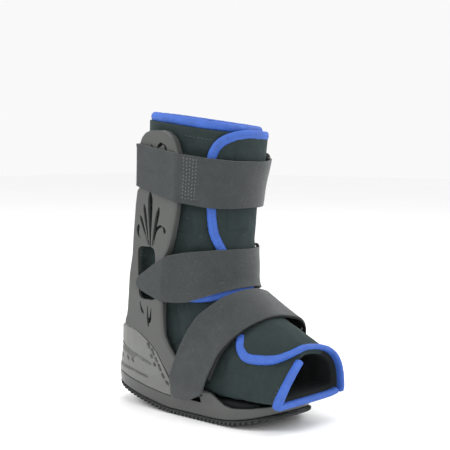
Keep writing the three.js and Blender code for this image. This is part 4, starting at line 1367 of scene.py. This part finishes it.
def flap(name, near, far, first, last, rows, columns, thickness):
    """Padded front panel between two edges. thickness(s, degrees) is its top's height above the
    liner in millimetres."""
    def turn(s, t):
        return mix(between(near, s), between(far, s), t)

    def place(i, j):
        s = mix(first, last, i / rows)
        k = j if j <= columns else 2 * columns - j
        degrees = turn(s, k / columns)
        low = 0.5
        high = max(thickness(s, degrees, k / columns), low + 0.3)
        if i in (0, rows):
            high = low = (low + high) / 2
        return on_liner(s, degrees, high if j <= columns else low)

    bm = grid(rows, 2 * columns, place)
    weld(bm)
    return mesh_object(name, bm, finishes()["liner"], 70)


class BuildFlaps(bpy.types.Operator):
    """Overlapping front panels of the wrap on the shaft and on the foot."""

    bl_idname = "boot.flaps"
    bl_label = "Front panels"

    def execute(self, context):
        def cover(s, degrees):
            press = strap_press(s, degrees)
            body = FLAP_LIFT + FLAP_THICKNESS + 1.1 * (1 - press) + creases(s, degrees, 5) * 0.8
            return body + 1.3 * press

        def shaft_top(s, degrees, t):
            return mix(cover(s, degrees), 0.2, ease(0.74, 1, t)) * mix(0.75, 1, ease(0, 0.12, t))

        def patch_top(s, degrees, t):
            sides = min(ease(0, 0.06, t), 1 - ease(0.94, 1, t))
            edge = min(sides, ease(0.5, 0.62, s), 1 - ease(3.3, 3.42, s))
            return cover(s, degrees) - 0.25 + 1.15 * edge

        far = [(0.12, -63), (6.2, -63)]
        shaft = flap("shaft_panel", SHAFT_FLAP_NEAR, far, 0.13, 6.15, 90, 44, shaft_top)
        settle(shaft, "liner_fabric", "shaft_flap")

        near, far = [(0.5, 22), (3.42, 21)], [(0.5, -13), (3.42, -11)]
        patch = flap("loop_patch", near, far, 0.5, 3.42, 60, 24, patch_top)
        settle(patch, "liner_fabric")

        def foot_top(s, degrees, t):
            press = strap_press(s, degrees)
            body = FLAP_LIFT + FLAP_THICKNESS + 0.7 + 0.6 * press + creases(s, degrees, 7) * 0.8
            body -= 2.2 * ease(13.6, 15.6, s)
            return mix(body, 0.4, ease(0.8, 1, t)) * mix(0.8, 1, ease(0, 0.1, t))

        near = [(11.2, 36), *FOOT_BINDING[:9]]
        far = [(11.2, -84), (11.9, -86), (12.6, -94), (13.2, -114), (15.8, -122)]
        foot = flap("foot_panel", near, far, 11.2, 15.78, 64, 56, foot_top)
        settle(foot, "liner_fabric", "foot_flap")
        return {"FINISHED"}


def route_line(route, lift, count):
    """Evenly spaced points of a route on the liner, with the outward direction at each."""
    rows = [smooth_row(route, p) for p in spread(0, len(route) - 1, count * 2)]
    points = [on_liner(s, d, lift) for s, d in rows]
    above = [on_liner(s, d, lift + 1) for s, d in rows]
    lengths = [0]
    for a, b in zip(points, points[1:]):
        lengths.append(lengths[-1] + (b - a).length)
    line, ups = [], []
    n = 0
    for target in spread(0, lengths[-1], count):
        while n < len(lengths) - 2 and lengths[n + 1] < target:
            n += 1
        share = (target - lengths[n]) / max(lengths[n + 1] - lengths[n], 1e-9)
        share = min(max(share, 0), 1)
        line.append(points[n].lerp(points[n + 1], share))
        ups.append((above[n] - points[n]).lerp(above[n + 1] - points[n + 1], share).normalized())
    return soften(line, 4), ups


def binding(name, route, lift, wide, high, node, closed, count, seed):
    """Bound edge along a route: a soft oval roll, flatter on a panel, that puckers a little."""
    square = 2.05 if closed else 2.6
    line, ups = route_line(route, lift, count)

    def centre(t):
        n = t * count
        i = min(int(n), count - 1)
        return line[i].lerp(line[i + 1], n - i)

    def across(t):
        i = min(int(round(t * count)), count)
        a, b = line[max(i - 1, 0)], line[min(i + 1, count)]
        if closed and i in (0, count):
            a, b = line[count - 1], line[1]
        ahead = (b - a).normalized()
        up = ups[i % count if closed else i]
        side = ahead.cross(up).normalized()
        return side, side.cross(ahead).normalized()

    def radii(t, turn):
        if closed:
            ends = 1
            around = 2 * math.pi * t
            where = Vector((math.cos(around) * 7 + seed, math.sin(around) * 7, turn * 0.35))
        else:
            ends = math.sqrt(max(0.03, min(1, min(t, 1 - t) * count / 3)))
            where = Vector((t * count * 0.16, seed, math.cos(turn)))
        pucker = 1 + 0.055 * noise.noise(where * 1.7) + 0.03 * noise.noise(where * 4.3)
        fold = (abs(math.cos(turn)) ** square + abs(math.sin(turn)) ** square) ** (-1 / square)
        return wide / 2 * ends * pucker * fold, high / 2 * ends * pucker * fold

    piece = tube(name, count, 20, centre, across, radii, finishes()["binding"], closed)
    settle(piece, "blue_binding", node)


class BuildBindings(bpy.types.Operator):
    """Blue bound edges of the collar, the front panels, the ankle and the toe opening."""

    bl_idname = "boot.bindings"
    bl_label = "Bindings"

    def execute(self, context):
        wide = sizes().binding_width / MM
        high = 1.7 * BINDING_RADIUS
        lift = FLAP_LIFT + BINDING_RADIUS
        collar = [(0.0, turn) for turn in range(0, 361, 15)]
        girth = (COLLAR_BINDING_WIDTH, COLLAR_BINDING_HEIGHT)
        binding("collar_edge", collar, -PADDING / 2, *girth, "collar_binding", True, 260, 2)
        for name, route, rise, grow, swell_up, node, count, seed in (
            ("shaft_edge", SHAFT_BINDING, lift - 0.6, 1, 1, "shaft_flap_binding", 240, 4),
            ("ankle_edge", ANKLE_BINDING, lift - 0.6, 0.8, 0.8, "ankle_binding", 160, 6),
            ("foot_edge", FOOT_BINDING, lift - 1.7, 1, 1, "foot_flap_binding", 240, 8),
            ("toe_edge", TOE_BINDING, -0.4, 1, 1.2, "toe_binding", 240, 10),
        ):
            binding(name, route, rise, wide * grow, high * swell_up, node, False, count, seed)
        return {"FINISHED"}


def rows_of(place, rows, columns):
    """Rows of points place(t, u), with both shares going from 0 to 1."""
    return [[place(i / rows, j / columns) for j in range(columns + 1)] for i in range(rows + 1)]


def strap_band(name, rows, columns, place, thickness, material, slot, nodes=()):
    """Band of cloth: a grid given its thickness inwards, with soft edges."""
    points = rows_of(place, rows, columns)
    middle = columns // 2
    along = [0]
    for a, b in zip(points, points[1:]):
        along.append(along[-1] + (b[middle] - a[middle]).length)

    def cloth(i, j):
        width = sum((points[i][k + 1] - points[i][k]).length for k in range(columns))
        return along[i] * MM, (j / columns - 0.5) * width * MM

    bm = grid(rows, columns, lambda i, j: points[i][j], cloth)
    face = max(bm.faces, key=lambda f: f.calc_center_median().x)
    if face.normal.x < 0:
        bmesh.ops.reverse_faces(bm, faces=bm.faces)
    piece = mesh_object(name, bm, material, 60, outward=False)
    modify(piece, "SOLIDIFY", thickness=thickness, offset=-1)
    bevel = modify(piece, "BEVEL", width=thickness * 0.36, segments=3, limit_method="ANGLE")
    bevel.angle_limit = 1.0
    bake_modifiers(piece)
    return settle(piece, slot, *nodes)


class BuildStraps(bpy.types.Operator):
    """Hook-and-loop straps with their near-black hook tape undersides, which also act as painted
    shadow where they show under the straps' edges.
    """

    bl_idname = "boot.straps"
    bl_label = "Straps"

    def execute(self, context):
        face = sizes().strap_thickness
        for name, table, node in (
            ("upper", UPPER_STRAP, "upper_strap"),
            ("middle", MIDDLE_STRAP, "middle_strap"),
        ):
            first, last = table[-1][0], table[0][0]

            def top(t, u):
                return strap_face(table, mix(first, last, t), u)

            def underside(t, u):
                reach = mix(first, last, mix(0.04, 0.96, t))
                # Hook tape just inside the strap's edges: real tape, whose near-black colour also
                # serves as painted shadow where it shows under the edge.
                return strap_face(table, reach, u, face / MM + HOOK_TAPE_GAP, 0.035)

            self.pair(name, face, (220, 26), top, (150, 10), underside, node, "shaft_panel")
        self.lower(face)
        return {"FINISHED"}

    def pair(self, name, face, fine, top, coarse, underside, node, under):
        """A strap's face band with the hook tape under it."""
        cloth, hooks = finishes()["strap"], finishes()["hook"]
        band = strap_band(f"{name}_band", *fine, top, face, cloth, "strap_fabric", (node,))
        tape = strap_band(
            f"{name}_hook_tape", *coarse, underside, HOOK_TAPE_THICKNESS, hooks, "ring_plastic"
        )

    def lower(self, face):
        def place(t, u, lift=LOWER_LIFT, front=0.0):
            share = (t - LOWER_END_SHARE) / (1 - 2 * LOWER_END_SHARE)
            bent = mix(LOWER_END_TURN, -LOWER_END_TURN, min(max(share, 0), 1))
            rear, fore = between(LOWER_STRAP, bent, 1), between(LOWER_STRAP, bent, 2)
            s = mix(rear, fore + front, u)
            drift = 0.4 * noise.noise(Vector((bent * 0.03, u * 2, 5)))
            lift += 0.9 * ease(75, 90, abs(bent))
            lift += 3.4 * ease(22, 46, -bent) * (1 - ease(58, 82, -bent))
            lift -= 1.4 * (1 - ease(14, 34, abs(bent)))
            # Round the front it bridges the hollow of the instep, and stands off at its far edge.
            p = on_liner(s, bent, lift + drift)
            edge = lift + 4.4 * ease(8, 34, -bent) * (1 - ease(60, 86, -bent))
            taut = on_liner(rear, bent, lift - 0.4).lerp(on_liner(fore + front, bent, edge), u)
            free = 1 - (ease(26, 62, bent) if bent > 0 else ease(56, 86, -bent))
            p = p.lerp(taut, 0.9 * free)
            side = 1 if t < 0.5 else -1
            out = max(LOWER_END_SHARE - t, t - 1 + LOWER_END_SHARE) / LOWER_END_SHARE
            if out > 0:
                x = mix(LOWER_FOOT_REAR, LOWER_FOOT_FRONT, u)
                z = LOWER_FOOT_HEIGHT
                y = -side * (wall_half(x, z) + GAP + lift - STRAP_LIFT + 1)
                q = Vector((x, y, z))
                p = p.lerp(q, ease(-0.3, 1.0, out) if out < 1 else 1)
            return p

        rows, columns = 200, 24
        over = relax(rows_of(place, rows, columns), 14)
        low = LOWER_LIFT - face / MM - HOOK_TAPE_GAP
        # The tape reaches a little past the front edge, where it is real tape and also painted
        # shadow under that edge.
        under = relax(rows_of(lambda t, u: place(t, u, low, 0.12), rows, columns), 14)

        def top(t, u):
            return over[round(t * rows)][round(u * columns)]

        def underside(t, u):
            return under[round(mix(0.13, 0.87, t) * rows)][round(u * columns)]

        fine, coarse = (rows, columns), (150, columns)
        self.pair("lower", face, fine, top, coarse, underside, "lower_strap", "foot_panel")


def relax(points, times):
    """Rows of points eased along the strap, with both ends kept."""
    for _ in range(times):
        eased = [
            [(a + 2 * b + c) / 4 for a, b, c in zip(before, row, after)]
            for before, row, after in zip(points, points[1:], points[2:])
        ]
        points = [points[0], *eased, points[-1]]
    return points


class BuildRings(bpy.types.Operator):
    """Flat plastic rings round the straps on the far side."""

    bl_idname = "boot.rings"
    bl_label = "Rings"

    def execute(self, context):
        for name, table, reach in (("upper", UPPER_STRAP, -0.36), ("middle", MIDDLE_STRAP, -0.34)):
            low, high = between(table, reach, 1), between(table, reach, 2)

            def band(u, lift, step=0.0):
                return on_strap(mix(low, high, u), reach + step, lift)

            self.ring(name, band, 0.04)
        rear, fore = between(LOWER_STRAP, RING_TURN, 1), between(LOWER_STRAP, RING_TURN, 2)

        def instep(u, lift, step=0.0):
            return on_liner(mix(rear, fore, u), RING_TURN + step, lift)

        self.ring("lower", instep, 4.0)
        return {"FINISHED"}

    def ring(self, name, surface, step):
        """Closed loop over and under the strap whose faces are surface(u, lift, step)."""
        width = (surface(0, STRAP_LIFT) - surface(1, STRAP_LIFT)).length
        ahead = (surface(0.5, STRAP_LIFT, -step) - surface(0.5, STRAP_LIFT, step)).normalized()
        margin = RING_MARGIN / width
        low = STRAP_LIFT - 2 * GAP - RING_BAR / 2
        high = STRAP_LIFT + STRAP_THICKNESS + 2 * GAP + RING_BAR / 2
        outside = [surface(u, high) for u in spread(-margin, 1 + margin, 40)]
        inside = [surface(u, low) for u in spread(1 + margin, -margin, 40)]
        path = outside + inside
        for _ in range(6):
            path = [
                (path[n - 1] + 2 * p + path[(n + 1) % len(path)]) / 4 for n, p in enumerate(path)
            ]
        count = len(path)

        def across(t):
            n = round(t * count) % count
            tangent = (path[(n + 1) % count] - path[n - 1]).normalized()
            return ahead, tangent.cross(ahead).normalized()

        def squared(t, turn):
            c, s = abs(math.cos(turn)), abs(math.sin(turn))
            grow = 1 / max((c**4 + s**4) ** 0.25, 0.1)
            return RING_DEPTH / 2 * grow, RING_BAR / 2 * grow

        def centre(t):
            return path[round(t * count) % count]

        ring = finishes()["ring"]
        piece = tube(f"{name}_loop", count, 16, centre, across, squared, ring, closed=True)
        settle(piece, "ring_plastic", f"{name}_ring")


def stitches_mesh(name, stitches, radius, material, slot):
    """One mesh of small rounded stitches that dip into the cloth at both ends."""
    bm = bmesh.new()
    for a, b, up in stitches:
        ahead = b - a
        turn = ahead.normalized().to_track_quat("Z", "Y")
        made = bmesh.ops.create_uvsphere(bm, u_segments=6, v_segments=4, radius=1)
        for v in made["verts"]:
            stretch = Vector((v.co.x * radius, v.co.y * radius, v.co.z * ahead.length * 0.54))
            bend = up * (-(v.co.z**2) * radius * 0.9)
            v.co = to_frame(Quaternion(turn) @ stretch + (a + b) / 2 + bend)
    settle(mesh_object(name, bm, material, 80), slot)


class BuildStitching(bpy.types.Operator):
    """Stitch lines along the bindings, the straps and the panels."""

    bl_idname = "boot.stitching"
    bl_label = "Stitching"

    def execute(self, context):
        self.strap_bars()
        self.panel_lines(sizes().stitch_length / MM)
        return {"FINISHED"}

    def along(self, surface, stops, length, gap):
        """Stitches along surface(t), a point and its outward direction."""
        points = [surface(t) for t in stops]
        found = []
        line = [p for p, _ in points]
        travelled, start, drawing = 0.0, 0, True
        for n in range(1, len(line)):
            travelled += (line[n] - line[n - 1]).length
            if drawing and travelled >= length:
                found.append((line[start], line[n], points[n][1]))
                drawing, travelled = False, 0.0
            elif not drawing and travelled >= gap:
                start, drawing, travelled = n, True, 0.0
        return found

    def strap_bars(self):
        """Bars of stitches across the upper and the middle strap."""
        found = []
        for table, bars in (
            (UPPER_STRAP, (0.452, 0.434, 0.416, 0.398, 0.38)),
            (MIDDLE_STRAP, (-0.42, -0.44)),
        ):
            def surface(reach, u, table=table):
                point = strap_face(table, reach, u, -0.12)
                return point, (strap_face(table, reach, u, -1.12) - point).normalized()

            for n, reach in enumerate(bars):
                start = 0.05 + 0.012 * (n % 2)
                stops = spread(start, 0.95, 300)
                found += self.along(lambda u: surface(reach, u), stops, 1.7, 1.3)
        stitches_mesh("strap_stitches", found, 0.4, finishes()["grey_thread"], "strap_fabric")

    def panel_lines(self, length):
        """Stitch lines beside the bindings."""
        blue, dark = [], []

        def over(route, lift):
            def surface(p):
                s, d = smooth_row(route, p)
                point = on_liner(s, d, lift)
                return point, (on_liner(s, d, lift + 1) - point).normalized()

            return surface

        top = FLAP_LIFT + BINDING_RADIUS * 1.85
        for route, sunk in ((SHAFT_BINDING, 0.55), (FOOT_BINDING, 1.65)):
            stops = spread(0.3, len(route) - 1.2, 1200)
            blue += self.along(over(route, top - sunk), stops, length, 1.0)
        stitches_mesh("binding_stitches", blue, 0.3, finishes()["blue_thread"], "blue_binding")
        hem = [(15.45, d) for d in range(62, 150, 8)]
        collar = [(0.3 + 0.16, d) for d in range(20, 341, 10)]
        seams = [[(s / 2, turn) for s in range(1, 14)] for turn in (177.5, 182.5)]
        for route, lift, steps in (
            (hem, 0.7, 500),
            (collar, 0.9, 1200),
            (seams[0], 0.75, 1800),
            (seams[1], 0.75, 1800),
        ):
            stops = spread(0, len(route) - 1, steps)
            dark += self.along(over(route, lift), stops, length, 1.2)
        stitches_mesh("liner_stitches", dark, 0.3, finishes()["dark_thread"], "liner_fabric")


class BuildStage(bpy.types.Operator):
    """Pale floor, soft studio light and the camera at the photograph's angle."""

    bl_idname = "boot.stage"
    bl_label = "Stage"

    AZIMUTH = 41.0
    PITCH = 4.2
    TARGET = (0.00447, 0.0055, 0.169)
    FOCAL_PIXELS = 1105
    FRAME_PIXELS = 450
    SENSOR = 36
    LAMP_AIM = (0, 0, 0.13)
    # Name, place, width in metres and power in watts.
    LAMPS = (
        ("key", (-1.0, -1.4, 1.6), 0.9, 20),
        ("fill", (1.6, -1.0, 0.9), 1.2, 9),
        ("rim", (0.5, 1.5, 1.4), 1.0, 14),
        ("top", (0.1, 0.1, 2.0), 1.2, 8),
    )

    def execute(self, context):
        scene = context.scene
        bm = bmesh.new()
        bmesh.ops.create_grid(bm, x_segments=1, y_segments=1, size=6)
        floor = mesh_object("floor", bm, self.floor_finish())
        for v in floor.data.vertices:
            v.co.z -= 0.0002
        world = scene.world or bpy.data.worlds.new("Studio")
        scene.world = world
        world.use_nodes = True
        background = world.node_tree.nodes["Background"]
        background.inputs["Color"].default_value = (1, 1, 1, 1)
        background.inputs["Strength"].default_value = 0.95
        for lamp in self.LAMPS:
            self.lamp(*lamp)
        camera = bpy.data.objects.new("camera", bpy.data.cameras.new("camera"))
        scene.collection.objects.link(camera)
        turn, pitch = math.radians(self.AZIMUTH), math.radians(self.PITCH)
        across = math.cos(pitch)
        back = Vector((math.sin(turn) * across, -math.cos(turn) * across, math.sin(pitch)))
        camera.location = Vector(self.TARGET) + back * sizes().camera_distance
        camera.rotation_mode = "QUATERNION"
        camera.rotation_quaternion = (-back).to_track_quat("-Z", "Y")
        camera.data.sensor_width = self.SENSOR
        camera.data.lens = self.SENSOR * self.FOCAL_PIXELS / self.FRAME_PIXELS
        camera.data.clip_start, camera.data.clip_end = 0.01, 50
        scene.camera = camera
        scene.view_settings.view_transform = "Standard"
        return {"FINISHED"}

    def floor_finish(self):
        f = Finish("Studio floor", Roughness=0.9, Specular_IOR_Level=0.1)
        haze = f.speckle(f.place(), 0.4, 2)
        f.feed(Base_Color=f.blend(haze, (0.95, 0.95, 0.95, 1), (0.98, 0.98, 0.98, 1)))
        return f.material

    def lamp(self, name, place, size, power):
        light = bpy.data.lights.new(name, "AREA")
        light.size = size
        light.energy = power
        lamp = bpy.data.objects.new(name, light)
        lamp.location = place
        aim = Vector(self.LAMP_AIM) - Vector(place)
        lamp.rotation_mode = "QUATERNION"
        lamp.rotation_quaternion = aim.to_track_quat("-Z", "Y")
        bpy.context.scene.collection.objects.link(lamp)


BUILDERS = (
    BuildTread,
    BuildPan,
    BuildHeelCap,
    BuildUprights,
    BuildInsole,
    BuildLiner,
    BuildFlaps,
    BuildBindings,
    BuildStraps,
    BuildRings,
    BuildStitching,
    BuildStage,
)


class BootPanel(bpy.types.Panel):
    """Lists the boot's pieces with their sizes and colours."""

    bl_idname = "VIEW3D_PT_boot"
    bl_label = "Walking boot"
    bl_space_type = "VIEW_3D"
    bl_region_type = "UI"
    bl_category = "Boot"

    def draw(self, context):
        for group in (context.scene.boot_sizes, context.scene.boot_colours):
            for key in group.__annotations__:
                self.layout.prop(group, key)
        for builder in BUILDERS:
            self.layout.operator(builder.bl_idname)


CLASSES = (BootSizes, BootColours, *BUILDERS, BootPanel)


def register():
    for item in CLASSES:
        bpy.utils.register_class(item)
    bpy.types.Scene.boot_sizes = PointerProperty(type=BootSizes)
    bpy.types.Scene.boot_colours = PointerProperty(type=BootColours)


def unregister():
    del bpy.types.Scene.boot_sizes
    del bpy.types.Scene.boot_colours
    for item in reversed(CLASSES):
        bpy.utils.unregister_class(item)


def main():
    register()
    for builder in BUILDERS:
        group, name = builder.bl_idname.split(".")
        getattr(getattr(bpy.ops, group), name)()


if __name__ == "__main__":
    main()
